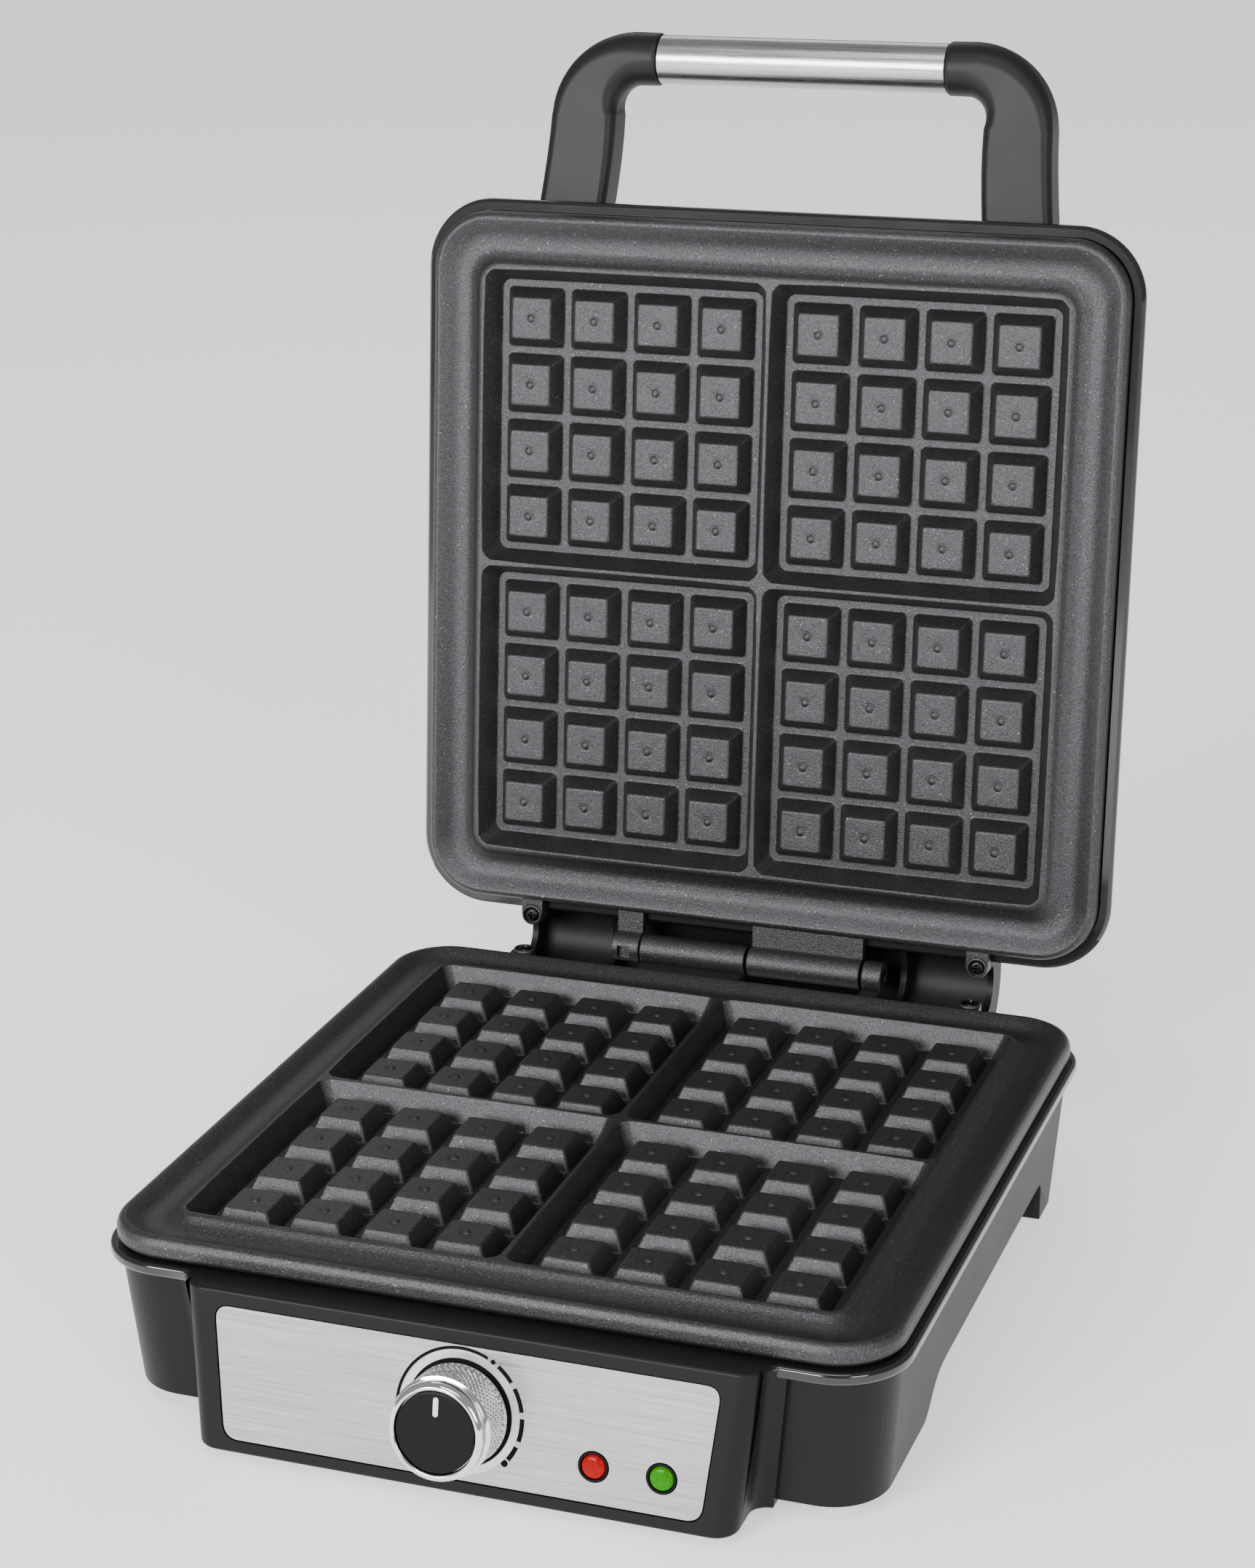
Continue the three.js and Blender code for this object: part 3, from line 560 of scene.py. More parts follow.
def peg_rings(x, y):
    """Rings of one cell, from its edge on the floor up the peg to the small bump on its top."""
    slope = [
        (PEG_FOOT_HALF + 1.1, 1.6, FLOOR_Z),
        (PEG_FOOT_HALF, 1.6, FLOOR_Z),
        (PEG_TOP_HALF, 1.1, PEG_Z),
        (5.5, 1.0, PEG_Z),
    ]
    rings = [cell_edge(PITCH / 2)]
    heights = [FLOOR_Z]
    for half, radius, z in soften(slope, [0, 0.9, 0.75, 0], 4)[:-1]:
        rings.append(rounded_rectangle(half, half, radius, 4))
        heights.append(z)
    bump = [(2.6, 0), (2.1, -0.22), (1.6, -0.2), (1.25, 0.12), (0.8, 0.4), (0.35, 0.5)]
    for radius, rise in bump:
        rings.append(rounded_rectangle(radius, radius, radius, 4))
        heights.append(PEG_Z + rise)
    return [[(x + u, y + v, z) for u, v in ring] for ring, z in zip(rings, heights)]


def on_rounded_square(u, v, half, radius, block_half):
    """Carries a point on a square's edge to a rounded square round it."""
    flat = half - radius
    along = block_half - radius
    short = min(abs(u), abs(v))
    if short <= along:
        place = (half, short * flat / along)
    else:
        angle = math.pi / 4 * (short - along) / radius
        place = (flat + radius * math.cos(angle), flat + radius * math.sin(angle))
    if abs(u) < abs(v):
        place = (place[1], place[0])
    return (math.copysign(place[0], u), math.copysign(place[1], v))


def block_edge():
    """Points along the edge of a block of cells, from the middle of one field, anticlockwise."""
    half = PITCH * PEGS / 2
    near = PITCH / 2 - CELL_REACH
    between = near + CELL_REACH * math.tan(math.pi / 8)
    offsets = [-PITCH / 2, -between, -near, near, between]
    side = [(half, PITCH * (i - (PEGS - 1) / 2) + offset) for i in range(PEGS) for offset in offsets]
    ring = []
    for quarter in range(4):
        for u, v in side:
            for _ in range(quarter):
                u, v = -v, u
            ring.append((u, v))
    return ring


def well_rings(sx, sy):
    """Rings of a field's sloping wall, from the block of cells up to the plateau round it."""
    block_half = PITCH * PEGS / 2
    top_half = (RIDGE_HALF - DIVIDER_HALF) / 2
    top_mid = (RIDGE_HALF + DIVIDER_HALF) / 2
    line = [
        (FIELD_HALF - 0.95, 1.2, FIELD_MID, FLOOR_Z),
        (FIELD_HALF, 4.0, FIELD_MID, FLOOR_Z),
        (top_half, 6.0, top_mid, RIDGE_Z),
        (top_half + 0.6, 6.6, top_mid, RIDGE_Z),
    ]
    rings = [[(sx * FIELD_MID + u, sy * FIELD_MID + v, FLOOR_Z) for u, v in block_edge()]]
    for half, radius, mid, z in soften(line, [0, 1.2, 0.6, 0], 4):
        ring = [on_rounded_square(u, v, half, radius, block_half) for u, v in block_edge()]
        rings.append([(sx * mid + u, sy * mid + v, z) for u, v in ring])
    return rings


def rim_sections():
    """The plate's profile from the plateau out over the lip and down the skirt to the underside."""
    hollow = [
        (112.7, 7.4, RIDGE_Z),
        (113.6, 8.0, 64.0),
        (115.3, 9.0, 62.2),
        (118.5, 11.0, 60.4),
        (123.5, 14.0, 60.7),
        (128.0, 17.5, 63.4),
        (130.0, 19.5, 64.35),
        (131.6, 21.0, 63.6),
        (132.6, 22.0, 61.6),
        (132.6, 22.0, 58.0),
        (131.0, 20.5, SKIRT_Z),
        (118.5, 13.0, SKIRT_Z),
        (117.0, 12.0, 50.5),
    ]
    reach = [0, 0.4, 1.0, 2.2, 2.4, 1.6, 1.0, 0.9, 0.9, 0.8, 0.8, 0, 0]
    return soften(hollow, reach, 5)


def add_skin(work, rings):
    """Quads between rings in a mesh being made."""
    rows = [[work.verts.new(point) for point in ring] for ring in rings]
    for low, high in zip(rows, rows[1:]):
        for i in range(len(low)):
            j = (i + 1) % len(low)
            work.faces.new((low[i], low[j], high[j], high[i]))
    return rows


def plate_body():
    """The cast plate with its four fields of pegs, closed underneath."""
    work = bmesh.new()
    lines = [s * (FIRST_PEG + i * PITCH) for s in SIDES for i in range(PEGS)]
    for x in lines:
        for y in lines:
            rows = add_skin(work, peg_rings(x, y))
            work.faces.new(rows[-1])
    plateau = []
    for sx in SIDES:
        for sy in SIDES:
            plateau.append(add_skin(work, well_rings(sx, sy))[-1])
    rim = []
    for half, radius, z in rim_sections():
        rim.append([(x, y, z) for x, y in rounded_rectangle(half, half, radius, 16)])
    rows = add_skin(work, rim)
    plateau.append(rows[0])
    work.faces.new(rows[-1])
    bmesh.ops.remove_doubles(work, verts=work.verts, dist=1e-4)
    open_edges = [edge for edge in work.edges if len(edge.link_faces) == 1]
    bmesh.ops.triangle_fill(work, use_beauty=True, edges=open_edges, normal=(0, 0, 1))
    bmesh.ops.recalc_face_normals(work, faces=work.faces)
    mesh = bpy.data.meshes.new("part")
    work.to_mesh(mesh)
    work.free()
    obj = bpy.data.objects.new("part", mesh)
    bpy.context.scene.collection.objects.link(obj)
    return obj


def knuckle(x0, x1, web_low, web_high):
    """Hinge barrel with its web to the plate's rear edge."""
    barrel = moved(turned(pipe_profile(1.0, BARREL_R, x0, x1, 0.6), 48), 0, HINGE_Y, HINGE_Z, ALONG_X)
    web_outline = [(129.5, web_low), (HINGE_Y - 1, web_low), (HINGE_Y - 1, web_high), (129.5, web_high)]
    return barrel, side_prism(web_outline, x0 + 0.4, x1 - 0.4)


def screw_tab(side):
    """Round tab on the plate's rear edge with a raised ring round the screw's seat."""
    ring_top = SCREW_SEAT_Z + 1.2
    profile = [
        (0, SKIRT_Z + 0.1),
        (TAB_R - 0.4, SKIRT_Z + 0.1),
        (TAB_R, SKIRT_Z + 0.6),
        (TAB_R, ring_top - 0.6),
        (TAB_R - 0.45, ring_top),
        (0, ring_top),
    ]
    post = moved(turned(soften(profile, [0, 0, 0.2, 0.4, 0.25, 0], 3), 40), side * TAB_X, TAB_Y)
    arm = block(side * TAB_X - TAB_R, side * TAB_X + TAB_R, 129.5, TAB_Y, SKIRT_Z + 0.6, ring_top - 0.7)
    seat_z = SCREW_SEAT_Z - 0.3
    seat = moved(turned([(0, seat_z), (3.2, seat_z), (3.3, 64), (0, 64)], 40), side * TAB_X, TAB_Y)
    hole = moved(rod(SCREW_BORE_R, 50, 63), side * TAB_X, TAB_Y)
    return post, arm, seat, hole


def baking_plate(knuckles, web_low, web_high, upper):
    """A cast plate. The upper one is the lower one turned over in the parting plane."""
    plate = plate_body()
    posts, holes = [], []
    for side in SIDES:
        post, arm, seat, hole = screw_tab(side)
        posts += [post, arm]
        holes += [seat, hole]
    join(plate, *posts)
    cut(plate, *holes)
    if upper:
        flip = Matrix.Translation((0, 0, 2 * PARTING_Z)) @ Matrix.Diagonal((1, 1, -1, 1))
        plate.data.transform(flip)
        plate.data.flip_normals()
    for x0, x1 in knuckles:
        barrel, web = knuckle(x0, x1, web_low, web_high)
        join(plate, barrel, web)
    low_x, high_x = knuckles[0][0] - 5, knuckles[-1][1] + 5
    bore = rod(PIN_R + GAP, low_x, high_x, 32)
    cut(plate, moved(bore, 0, HINGE_Y, HINGE_Z, ALONG_X))
    return plate


def make_plates():
    lower = baking_plate([(-42.5, -0.5), (46, 53.5)], 58.4, 62, False)
    coating = MATERIALS["coating"]
    piece(lower, "lower_plate", "base", ["lower_baking_plate"], coating, BASE_SPACE)
    upper = baking_plate([(-54, -43), (0.5, 45)], 67.2, 70.8, True)
    window = block(-51.5, -46.5, 144.5, 149.5, 58, 62.9)
    cut(upper, window)
    piece(upper, "upper_plate", "lid", ["upper_baking_plate"], coating, LID_SPACE)


# ---- Fasteners -----------------------------------------------------------------------------------
def cross_screw(head_radius, head_height, shank_radius, length):
    """Pan head screw with a cross recess, its seat at z = 0 and its head up."""
    head = [
        (0, -length),
        (shank_radius * 0.3, -length),
        (shank_radius, -length + 1.5),
        (shank_radius, 0),
        (head_radius, 0),
        (head_radius, head_height * 0.45),
        (head_radius * 0.72, head_height),
        (0, head_height),
    ]
    reach = [0, 0.2, 0.2, 0, 0.15, head_height * 0.35, head_radius * 0.25, 0]
    body = turned(soften(head, reach, 4), 36)
    arm = head_radius * 0.58
    slot_half = head_radius * 0.13
    tools = []
    for long_x, long_y in ((arm, slot_half), (slot_half, arm)):
        rings = []
        for grow, z in ((0.5125, -head_height * 0.1), (1.0, head_height + 0.2)):
            rings.append([(sx * long_x * grow, sy * long_y * grow, z) for sx, sy in CORNERS])
        tools.append(solid(*skin(rings)))
    return cut(body, *tools)


def make_screws():
    over = Matrix.Rotation(math.pi, 4, "X")
    for side, word in zip(SIDES, ("left", "right")):
        low = moved(cross_screw(2.7, 1.4, 1.4, 14), side * TAB_X, TAB_Y, SCREW_SEAT_Z)
        name = f"lower_plate_screw_{word}"
        piece(low, f"{name}_cross", "base", [name], MATERIALS["dark_steel"], BASE_SPACE)
        high_seat = 2 * PARTING_Z - SCREW_SEAT_Z
        high = moved(cross_screw(2.7, 1.4, 1.4, 14), side * TAB_X, TAB_Y, high_seat, over)
        name = f"upper_plate_screw_{word}"
        piece(high, f"{name}_cross", "lid", [name], MATERIALS["dark_steel"], LID_SPACE)
        arm_screw = moved(cross_screw(3.4, 2, 1.6, 26), side * ARM_X, -126.9, ARM_ROOT_Z, ALONG_Y)
        name = f"handle_screw_{word}"
        piece(arm_screw, f"{name}_cross", "lid", [name], MATERIALS["zinc"], LID_SPACE)
    for place in ("front_left", "front_right", "rear_left", "rear_right"):
        node = f"cover_screw_{place}"
        low, high = (BASE_SPACE.inverted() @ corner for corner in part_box(node))
        seat = low.z + 1.8
        cover = moved(cross_screw(3, 1.8, 1.5, 10), (low.x + high.x) / 2, (low.y + high.y) / 2, seat, over)
        piece(cover, f"{node}_cross", "base", [node], MATERIALS["zinc"], BASE_SPACE)


# ---- Base ----------------------------------------------------------------------------------------
def wall_half(z):
    return 127 + 4.5 * z / 52


def console_half(z):
    return 90 + 6 * (z - CONSOLE_Z) / (FLANGE_Z - CONSOLE_Z)


def face_y(z):
    return PANEL_Y + (z - PANEL_Z) * math.tan(PANEL_TILT)


def console_ring(z, inset, back_y):
    """Outline of the console at one height: round front corners, then a hollow curve to the front wall."""
    half = console_half(z) - inset
    front = face_y(z) + inset
    side = -wall_half(z) - 2.5 + inset
    corner_r = 7
    hollow_r = 6
    right = arc(corner_r, -90, 0, 10, (half - corner_r, front + corner_r))
    right += arc(hollow_r, 180, 90, 8, (half + hollow_r, side - hollow_r))
    right.append((half + hollow_r, back_y))
    left = [(-x, y) for x, y in reversed(right)]
    return [(x, y, z) for x, y in left + right]


def console_block():
    rings = []
    for z, y in arc(1.5, 180, 90, 4, (CONSOLE_Z + 1.5, 0)):
        rings.append(console_ring(z, 1.5 - y, -118))
    for z, y in arc(1.2, 90, 0, 4, (FLANGE_Z - 1.2, 0)):
        rings.append(console_ring(z, 1.2 - y, -118))
    return solid(*skin(rings))


def panel_outline(grow, radius):
    """Round-cornered trapezium of the panel in its own plane."""
    up = PANEL_HALF_HEIGHT + grow
    corners = [
        (-PANEL_HALF_BOTTOM - grow, -up),
        (PANEL_HALF_BOTTOM + grow, -up),
        (PANEL_HALF_TOP + grow, up),
        (-PANEL_HALF_TOP - grow, up),
    ]
    return soften(corners, radius, 8, closed=True)


def side_arch():
    front_curve = [(-68, -2), (-68, 6), (-64, 9), (-60, 14.5), (-55, 17.8), (-49, 18.8)]
    leg_edge = [(86, 18.8), (89, 17), (95.5, -2)]
    outline = soften(front_curve + leg_edge, [0, 1, 2.5, 3, 2.5, 3, 1.5, 1.5, 0], 4)
    return side_prism(outline, -140, 140)


def panel_hole(radius, x, y):
    tool = rod(radius, -12, 4, 48)
    tool.data.transform(PANEL_IN_BASE @ Matrix.Translation((x, y, 0)))
    return tool


def make_base():
    lip = [
        (FLANGE_HALF - 5, 20, FLANGE_Z - 4),
        (FLANGE_HALF - 0.6, 23.6, FLANGE_Z - 4),
        (FLANGE_HALF, 24, FLANGE_Z - 3.2),
        (FLANGE_HALF, 24, FLANGE_Z - 0.9),
        (FLANGE_HALF - 0.9, 23.1, FLANGE_Z),
        (FLANGE_HALF - 5, 20, FLANGE_Z),
    ]
    walls = square_loft([(wall_half(0.8), 19, 0.8), (wall_half(FLANGE_Z - 3), 21, FLANGE_Z - 3)])
    cut(walls, block(-150, 150, -140, -60, -2, 6))
    bosses = []
    for side in SIDES:
        bosses.append(moved(rod(TAB_R, 42, FLANGE_Z, 32), side * TAB_X, TAB_Y))
        bosses.append(block(side * TAB_X - TAB_R, side * TAB_X + TAB_R, 127, TAB_Y, 42, FLANGE_Z))
    join(walls, square_loft(soften(lip, [0, 0.5, 0.5, 0.8, 0.8, 0], 4)), console_block(), *bosses)
    ceiling = FLANGE_Z - 4
    hollow = square_loft([(wall_half(-2) - WALL, 16.5, -2), (wall_half(ceiling) - WALL, 18.5, ceiling)])
    mouth = square_loft([(124, 17, FLANGE_Z - 6), (124, 17, FLANGE_Z + 2)])
    console_rings = [console_ring(z, WALL, -112) for z in (CONSOLE_Z - 3, ceiling)]
    console_hollow = solid(*skin(console_rings))
    rear_arch = block(-104, 104, 90, 150, -2, 18.8)
    cut(walls, hollow, mouth, console_hollow, rear_arch)
    leg_fronts = [block(*sorted((side * 104, side * 125)), 93, 97, 0.8, 22) for side in SIDES]
    join(walls, *leg_fronts)
    recess = prism(panel_outline(0.5, 5.5), -1.5, 4)
    recess.data.transform(PANEL_IN_BASE)
    inlet = moved(rod(6.4, 120, 140, 40), INLET_X, 0, INLET_Z, ALONG_Y)
    holes = [panel_hole(5, 0, 0)] + [panel_hole(5.1, x, -LAMP_DROP) for x in LAMPS.values()]
    bores = [moved(rod(SCREW_BORE_R, 46, 60), side * TAB_X, TAB_Y) for side in SIDES]
    cut(walls, side_arch(), recess, inlet, *holes, *bores)
    bevelled(walls, 0.35)
    looks = [MATERIALS["satin"], MATERIALS["gloss"]]
    piece(walls, "housing", "base", ["base_housing"], looks, BASE_SPACE)
    to_plates = BASE_SPACE.inverted()
    for face in walls.data.polygons:
        x, y, z = to_plates @ face.center
        if z > FLANGE_Z - 4.3 and (y > -FLANGE_HALF - 0.3 or abs(x) > 98):
            face.material_index = 1


def make_underside():
    """Rubber feet and the cord inlet's bush."""
    for place in ("front_left", "front_right", "rear_left", "rear_right"):
        node = f"foot_{place}"
        low, high = (BASE_SPACE.inverted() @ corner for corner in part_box(node))
        radius = (high.x - low.x) / 2
        rim = [(radius - 5, 0.5), (radius - 4.4, 0), (radius - 1.2, 0), (radius, 1.3), (radius, 4)]
        profile = [(0, 0.5), *rim, (0, 4)]
        foot = turned(soften(profile, [0, 0.4, 0.4, 0.7, 0.9, 0, 0], 4), 48)
        moved(foot, (low.x + high.x) / 2, (low.y + high.y) / 2)
        piece(foot, f"{node}_pad", "base", [node], MATERIALS["rubber"], BASE_SPACE)
    tube = [(3.6, 122), (6, 122), (6, 132.2)]
    flange = [(9, 132.2), (9, 137.4), (8.4, 138), (4.4, 138), (3.6, 137.2)]
    profile = tube + flange
    bush = turned(soften(profile, [0.3, 0.4, 0, 0.4, 0.4, 0.4, 0.4, 0.4], 3, closed=True), 48, looped=True)
    moved(bush, INLET_X, 0, INLET_Z, ALONG_Y)
    piece(bush, "inlet_bush", "base", ["cord_inlet_bush"], MATERIALS["rubber"], BASE_SPACE)


# ---- Control panel, in its own plane: +Z is the outward normal and +Y runs up the panel ----------
def ring_band(inner, outer, start, end, low, high):
    """Part of a flat ring. Angles are in degrees clockwise from 12 o'clock."""
    steps = max(3, int(abs(end - start) / 3))
    outside = arc(outer, 90 - start, 90 - end, steps)
    inside = arc(inner, 90 - end, 90 - start, steps)
    return prism(outside + inside, low, high)


def scale_marks():
    """Printed scale round the knob: a long line, a dot, four dashes that grow thicker and a larger dot."""
    radius = 20.8
    low, high = PANEL_FACE - 0.05, PANEL_FACE + 0.03
    marks = []
    spans = [(-135, 24.9), (36.1, 53.7), (59.3, 80.8), (86.3, 107), (112.5, 126.9)]
    for start, end in spans:
        half_width = 0.5 + 0.3 * (start + 135) / 270
        marks.append(ring_band(radius - half_width, radius + half_width, start, end, low, high))
    for angle, dot_radius in ((30.4, 0.8), (131.6, 1.2)):
        x = radius * math.sin(math.radians(angle))
        y = radius * math.cos(math.radians(angle))
        marks.append(moved(rod(dot_radius, low, high), x, y))
    return join(*marks)


def knurled_knob():
    """Chrome knob: a skirt with diamond knurling, a groove and a rounded polished ring round the cap."""
    teeth = 46
    columns = teeth * 8
    depth = 0.9
    knurl_low, knurl_high = 1.3, 14.6
    rows = 45
    pitch = 2 * math.pi * KNOB_R / teeth
    rings = []
    foot = [(3.4, 12.5), (3.4, 0.6), (KNOB_R - 0.3, 0.6), (KNOB_R - 0.15, knurl_low)]
    foot = soften(foot, [0, 0.3, 0.3, 0], 3)
    neck = [
        (KNOB_R - 0.1, knurl_high + 0.2),
        (15.3, 15.1),
        (15.2, 15.6),
        (15.75, 16.2),
        (15.8, 18.0),
        (15.2, 19.4),
        (14.2, 20.0),
        (13.4, 19.8),
        (13.3, 19.0),
        (13.3, 18.0),
        (0.0, 18.0),
    ]
    head = soften(neck, [0, 0.2, 0.2, 0.3, 1.0, 0.8, 0.6, 0.4, 0.3, 0.2, 0], 4)

    def plain(radius, z):
        angles = [2 * math.pi * i / columns for i in range(columns)]
        return [(radius * math.cos(a), radius * math.sin(a), z) for a in angles]

    rings.append(plain(0, 12.5))
    rings += [plain(radius, z) for radius, z in foot]
    for row in range(rows + 1):
        z = knurl_low + (knurl_high - knurl_low) * row / rows
        fade = min(1, 12 * min(row, rows - row) / rows)
        ring = []
        for i in range(columns):
            across = teeth * i / columns
            up = z / pitch
            first = abs((across + up) % 1 - 0.5) * 2
            second = abs((across - up) % 1 - 0.5) * 2
            radius = KNOB_R - 0.1 - depth * max(first, second) * fade
            angle = 2 * math.pi * i / columns
            ring.append((radius * math.cos(angle), radius * math.sin(angle), z))
        rings.append(ring)
    rings += [plain(radius, z) for radius, z in head]
    return solid(*skin(rings))


def make_panel():
    sheet = prism(panel_outline(0, 5), -1.2, PANEL_FACE)
    holes = [rod(4.2, -3, 3, 48)]
    for x in LAMPS.values():
        holes.append(moved(rod(5.1, -3, 3, 48), x, -LAMP_DROP))
    cut(sheet, *holes)
    bevelled(sheet, 0.12)
    piece(sheet, "panel_sheet", "base", ["control_panel"], MATERIALS["panel"], PANEL_SPACE)
    piece(scale_marks(), "panel_scale", "base", [], MATERIALS["print_and_shadow_black"], PANEL_SPACE)
    sunk = PANEL_FACE - 0.05
    # Painted shadow: a flat black ring on the panel round the knob's foot stands in for the shade in the gap
    # under the knob's skirt.
    shadow_ring_top = PANEL_FACE + 0.04
    painted_shadow_ring = turned([(5.2, sunk), (17.7, sunk), (17.7, shadow_ring_top), (5.2, shadow_ring_top)], 64, True)
    piece(painted_shadow_ring, "knob_painted_shadow_ring", "base", [], MATERIALS["print_and_shadow_black"], PANEL_SPACE)
    bezel_top = PANEL_FACE + 0.12
    bezel = [(17.5, sunk), (19.9, sunk), (19.9, bezel_top), (17.5, bezel_top)]
    bezel = turned(soften(bezel, [0, 0, 0.08, 0.08], 2, True), 96, True)
    piece(bezel, "knob_bezel", "base", [], MATERIALS["bezel"], PANEL_SPACE)
    for colour, x in LAMPS.items():
        dome = [(0, -4), (3.9, -4), (3.9, -0.2), (3.3, 0.4), (2.0, 0.75), (0, 0.9)]
        lens = moved(turned(soften(dome, [0, 0, 0.35, 0.5, 0.9, 0], 4), 40), x, -LAMP_DROP)
        name = f"{colour}_lens"
        piece(lens, name, "base", [f"{colour}_lamp_lens"], MATERIALS[colour], PANEL_SPACE)
        tube = soften([(4.2, -11), (4.75, -11), (4.75, 0.25), (4.2, 0.25)], [0, 0, 0.2, 0.2], 3, True)
        holder = moved(turned(tube, 40, True), x, -LAMP_DROP)
        node = f"{colour}_lamp_holder"
        piece(holder, f"{node}_ring", "base", [node], MATERIALS["cap"], PANEL_SPACE)


def make_knob():
    chrome = MATERIALS["chrome"]
    piece(knurled_knob(), "knob_skirt", "knob", ["knob"], chrome, PANEL_SPACE, 60)
    face = [(0, 18.3), (13, 18.3), (13, 19.0), (12.4, 19.3), (9.0, 19.42), (0, 19.5)]
    cap = turned(soften(face, [0, 0, 0.2, 0.5, 1.5, 0], 4), 96)
    piece(cap, "knob_face", "knob", ["knob_cap"], MATERIALS["cap"], PANEL_SPACE)
    bar = prism([(x, y + 8.2) for x, y in rounded_rectangle(0.85, 3.1, 0.8, 6)], 19.3, 19.62)
    piece(bevelled(bar, 0.08), "knob_pointer", "knob", [], MATERIALS["white_ink"], PANEL_SPACE)


# ---- Lid, closed ---------------------------------------------------------------------------------
def hinge_sector(r0, r1, x0, x1):
    """Part of a hollow roll about the hinge pin, from the rear over the top to the front."""
    centre = (HINGE_Y, HINGE_Z)
    outline = arc(r1, 130, 0, 28, centre) + arc(r0, 0, 130, 28, centre)
    return side_prism(outline, x0, x1)


def hinge_cover():
    """Hollow cover over the whole hinge, with two cheeks at each end."""
    thick = 2.4
    parts = [hinge_sector(EAR_R - thick, EAR_R, -EAR_OUTER_X, EAR_OUTER_X)]
    for low in (-EAR_OUTER_X, -EAR_INNER_X - thick, EAR_INNER_X, EAR_OUTER_X - thick):
        parts.append(hinge_sector(12, EAR_R, low, low + thick))
    return parts


def make_lid():
    outside = [
        (LID_RIM_HALF - 1.3, 24.9, LID_RIM_Z),
        (LID_RIM_HALF, 26, LID_RIM_Z + 1.3),
        (LID_RIM_HALF, 26, LID_RIM_Z + 3.2),
        (LID_RIM_HALF - 2, 24, LID_RIM_Z + 4.4),
        (133.5, 22.5, 90),
        (131, 21, 98),
        (126, 18, 103.5),
        (118, 14, 107),
        (108, 10, LID_TOP_Z),
        (98.5, 9, LID_TOP_Z),
    ]
    shell = square_loft(soften(outside, [0, 1.1, 1.0, 0.9, 4, 3, 3, 4, 4, 0], 5), 18)
    inside = [
        (133.1, 22.4, LID_RIM_Z - 2),
        (133.1, 22.4, LID_RIM_Z + 2),
        (128, 19, LID_RIM_Z + 2.1),
        (128, 19, 90),
        (125, 17, 98),
        (112, 10, 104.5),
    ]
    cut(shell, square_loft(inside, 18))
    added = []
    boss_top = 2 * PARTING_Z - FLANGE_Z
    for side in SIDES:
        pad = (side * ARM_X - 10, side * ARM_X + 10, ARM_ROOT_Y + GAP, -127, ARM_ROOT_Z - 7, ARM_ROOT_Z + 7)
        added.append(block(*pad))
        added.append(moved(rod(TAB_R, boss_top, 86, 32), side * TAB_X, TAB_Y))
        added.append(block(side * TAB_X - TAB_R, side * TAB_X + TAB_R, 129, TAB_Y, boss_top + 0.6, 86))
    join(shell, *added, *hinge_cover())
    tools = [square_loft([(98, 12, LID_TOP_Z - 1.2), (98, 12, LID_TOP_Z + 2)])]
    for side in SIDES:
        for radius, start, end in ((2, -140, -120), (3.9, -127.2, -115)):
            tools.append(moved(rod(radius, start, end), side * ARM_X, 0, ARM_ROOT_Z, ALONG_Y))
        tools.append(moved(rod(SCREW_BORE_R, 70, 84), side * TAB_X, TAB_Y))
        notch = TAB_R + 0.5
        tools.append(block(side * TAB_X - notch, side * TAB_X + notch, 130, 143, 70, boss_top))
    cut(shell, *tools)
    bevelled(shell, 0.35)
    looks = [MATERIALS["gloss"], MATERIALS["satin"]]
    piece(shell, "lid_shell", "lid", ["lid_housing"], looks, LID_SPACE)
    to_plates = LID_SPACE.inverted()
    for face in shell.data.polygons:
        centre = to_plates @ face.center
        if math.hypot(centre.y - HINGE_Y, centre.z - HINGE_Z) < EAR_R - 1:
            face.material_index = 1
    plate = [
        (97.6, 11.6, LID_TOP_Z - 0.9),
        (97.6, 11.6, LID_TOP_Z - 0.1),
        (96.6, 10.6, LID_TOP_Z + 0.3),
        (60, 8, LID_TOP_Z + 0.3),
    ]
    cover = square_loft(soften(plate, [0, 0.4, 0.8, 0], 4))
    piece(cover, "lid_cover", "lid", ["lid_cover_plate"], MATERIALS["cover"], LID_SPACE)


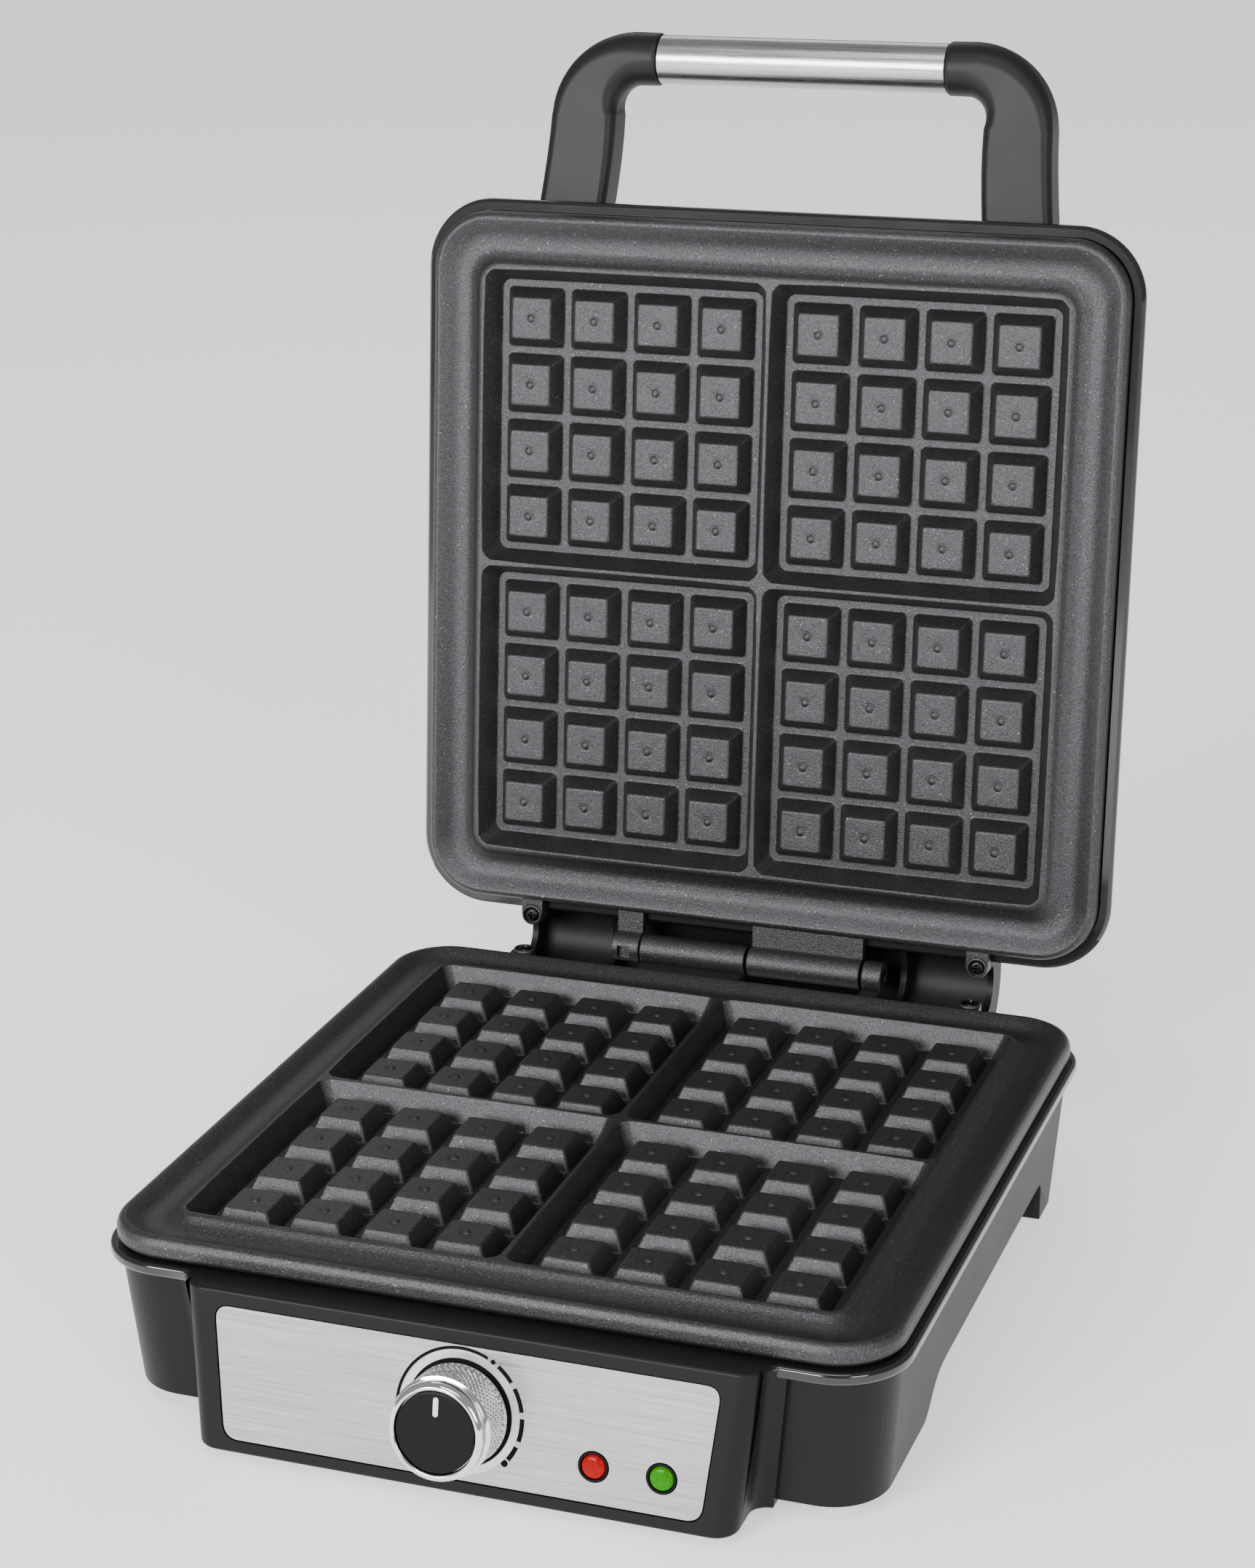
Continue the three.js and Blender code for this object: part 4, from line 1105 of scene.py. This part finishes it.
def handle_arm(side):
    """Arm that leaves the lid's front edge and bends in to the grip tube."""
    bend = 20
    bend_x = ARM_X - ARM_LEAN - bend
    reach = HANDLE_Y + bend - ARM_ROOT_Y
    places = []
    for t in (0, 0.015, 0.25, 0.5, 0.75, 0.97):
        lean = ARM_LEAN * math.sin(t * math.pi / 2)
        places.append((ARM_X - lean, ARM_ROOT_Y + reach * t, 0))
    steps = 16
    for i in range(steps + 1):
        turn = math.pi / 2 * i / steps
        places.append((bend_x + bend * math.cos(turn), HANDLE_Y + bend - bend * math.sin(turn), turn))
    for x in (bend_x - 4, TUBE_HALF + GAP + 2, TUBE_HALF + GAP + 0.7):
        places.append((x, HANDLE_Y, math.pi / 2))
    rings = []
    last = len(places) - 1
    for station, (x, y, turn) in enumerate(places):
        share = station / last
        eased = share * share * (3 - 2 * share)
        z = ARM_ROOT_Z + (y - ARM_ROOT_Y) / (HANDLE_Y - ARM_ROOT_Y) * (HANDLE_Z - ARM_ROOT_Z)
        outline = rounded_rectangle(13.2 - 3.5 * eased, 8.5 + 1.2 * eased, 3.4 + 6.1 * eased, 8)
        rings.append([(side * (x + u * math.cos(turn)), y - u * math.sin(turn), z + v) for u, v in outline])
    end = rounded_rectangle(9.2, 9.2, 9.0, 8)
    rings.append([(side * (TUBE_HALF + GAP), HANDLE_Y - u, HANDLE_Z + v) for u, v in end])
    arm = solid(*skin(rings))
    spigot = rod(7.4, TUBE_HALF - 12, TUBE_HALF + 2, 40)
    spigot_turn = ALONG_X if side > 0 else Matrix.Rotation(-math.pi / 2, 4, "Y")
    join(arm, moved(spigot, 0, HANDLE_Y, HANDLE_Z, spigot_turn))
    return cut(arm, moved(rod(2, -158, -120), side * ARM_X, 0, ARM_ROOT_Z, ALONG_Y))


def make_handle():
    for side, word in zip(SIDES, ("left", "right")):
        node = f"handle_arm_{word}"
        arm = handle_arm(side)
        piece(arm, f"{node}_grip", "lid", [node], MATERIALS["arm"], LID_SPACE)
    tube = turned(pipe_profile(7.8, TUBE_R, -TUBE_HALF, TUBE_HALF, 0.35), 72, True)
    moved(tube, 0, HANDLE_Y, HANDLE_Z, ALONG_X)
    piece(tube, "grip_tube", "lid", ["handle_tube"], MATERIALS["tube"], LID_SPACE)
    pin = soften([(0, -53.6), (PIN_R, -53.6), (PIN_R, 53.2), (0, 53.2)], [0, 0.4, 0.4, 0], 3)
    pin = moved(turned(pin, 36), 0, HINGE_Y, HINGE_Z, ALONG_X)
    piece(pin, "hinge_rod", "base", ["hinge_pin"], MATERIALS["dark_steel"], BASE_SPACE)


# ---- CAD nodes that stay as they are, with their materials ---------------------------------------
KEPT = {
    "bottom_cover": "satin",
    "lower_heating_element": "rod",
    "upper_heating_element": "rod",
    "lower_heat_reflector": "aluminium",
    "upper_heat_reflector": "aluminium",
    "thermal_cutout": "aluminium",
    "terminal_block": "ceramic",
    "supply_lead": "sleeve",
    "lamp_lead": "sleeve",
    "thermostat_body": "bakelite",
    "thermostat_shaft": "zinc",
}


def dress_kept_nodes():
    for node, finish in KEPT.items():
        obj = frame["nodes"][node]
        obj.data.materials.clear()
        obj.data.materials.append(MATERIALS[finish])
        edge = obj.modifiers.new("edges", "BEVEL")
        edge.width = 0.0003
        edge.segments = 2
        edge.limit_method = "ANGLE"
        edge.angle_limit = math.radians(50)


# ---- Camera, light and floor ---------------------------------------------------------------------
CAMERA_PLACE = (0.3628, -1.0172, 0.5515)
AZIMUTH = math.radians(19.89)
ELEVATION = math.radians(19.12)
ROLL = math.radians(-0.72)


def make_camera():
    camera = bpy.data.objects.new("camera", bpy.data.cameras.new("camera"))
    bpy.context.scene.collection.objects.link(camera)
    camera.data.lens = 77.14
    camera.data.sensor_width = 36
    camera.data.clip_start = 0.01
    back = Vector((
        math.sin(AZIMUTH) * math.cos(ELEVATION),
        -math.cos(AZIMUTH) * math.cos(ELEVATION),
        math.sin(ELEVATION),
    ))
    level = Vector((math.cos(AZIMUTH), math.sin(AZIMUTH), 0))
    up = back.cross(level)
    right = level * math.cos(ROLL) + up * math.sin(ROLL)
    camera.matrix_world = Matrix((right, back.cross(right), back)).transposed().to_4x4()
    camera.location = CAMERA_PLACE
    bpy.context.scene.camera = camera


def softbox(name, place, target, size, power):
    light = bpy.data.lights.new(name, "AREA")
    light.shape = "RECTANGLE"
    light.size, light.size_y = size
    light.energy = power
    lamp = bpy.data.objects.new(name, light)
    bpy.context.scene.collection.objects.link(lamp)
    lamp.location = place
    lamp.rotation_euler = (Vector(target) - Vector(place)).to_track_quat("-Z", "Y").to_euler()


def make_studio():
    world = bpy.data.worlds.new("studio")
    bpy.context.scene.world = world
    world.use_nodes = True
    world.node_tree.nodes["Background"].inputs["Color"].default_value = (0.93, 0.94, 0.95, 1)
    world.node_tree.nodes["Background"].inputs["Strength"].default_value = 0.36
    centre = (0, 0, 0.15)
    softbox("key_light", (-0.7, -2.0, 0.9), centre, (1.1, 0.7), 54)
    softbox("fill_light", (1.6, -1.6, 1.0), centre, (0.9, 0.9), 22)
    softbox("top_light", (0.1, -0.9, 2.0), centre, (1.2, 0.9), 11)
    softbox("rear_light", (-0.8, 1.8, 1.7), centre, (1.2, 0.8), 5)
    floor_mesh = bpy.data.meshes.new("floor")
    reach = 8
    floor_mesh.from_pydata([(sx * reach, sy * reach, 0) for sx, sy in CORNERS], [], [(0, 1, 2, 3)])
    floor = bpy.data.objects.new("floor", floor_mesh)
    bpy.context.scene.collection.objects.link(floor)
    paint = Finish("floor_paint", (0.88, 0.88, 0.88), 0.7, Specular_IOR_Level=0.1)
    paint.layer(paint.noise(0.004, 2), color=0.01)
    paint.shader.inputs["Emission Color"].default_value = (1, 1, 1, 1)
    paint.shader.inputs["Emission Strength"].default_value = 0.85
    floor.data.materials.append(paint.done())


make_camera()
make_studio()
make_plates()
make_screws()
make_base()
make_underside()
make_panel()
make_knob()
make_lid()
make_handle()
dress_kept_nodes()
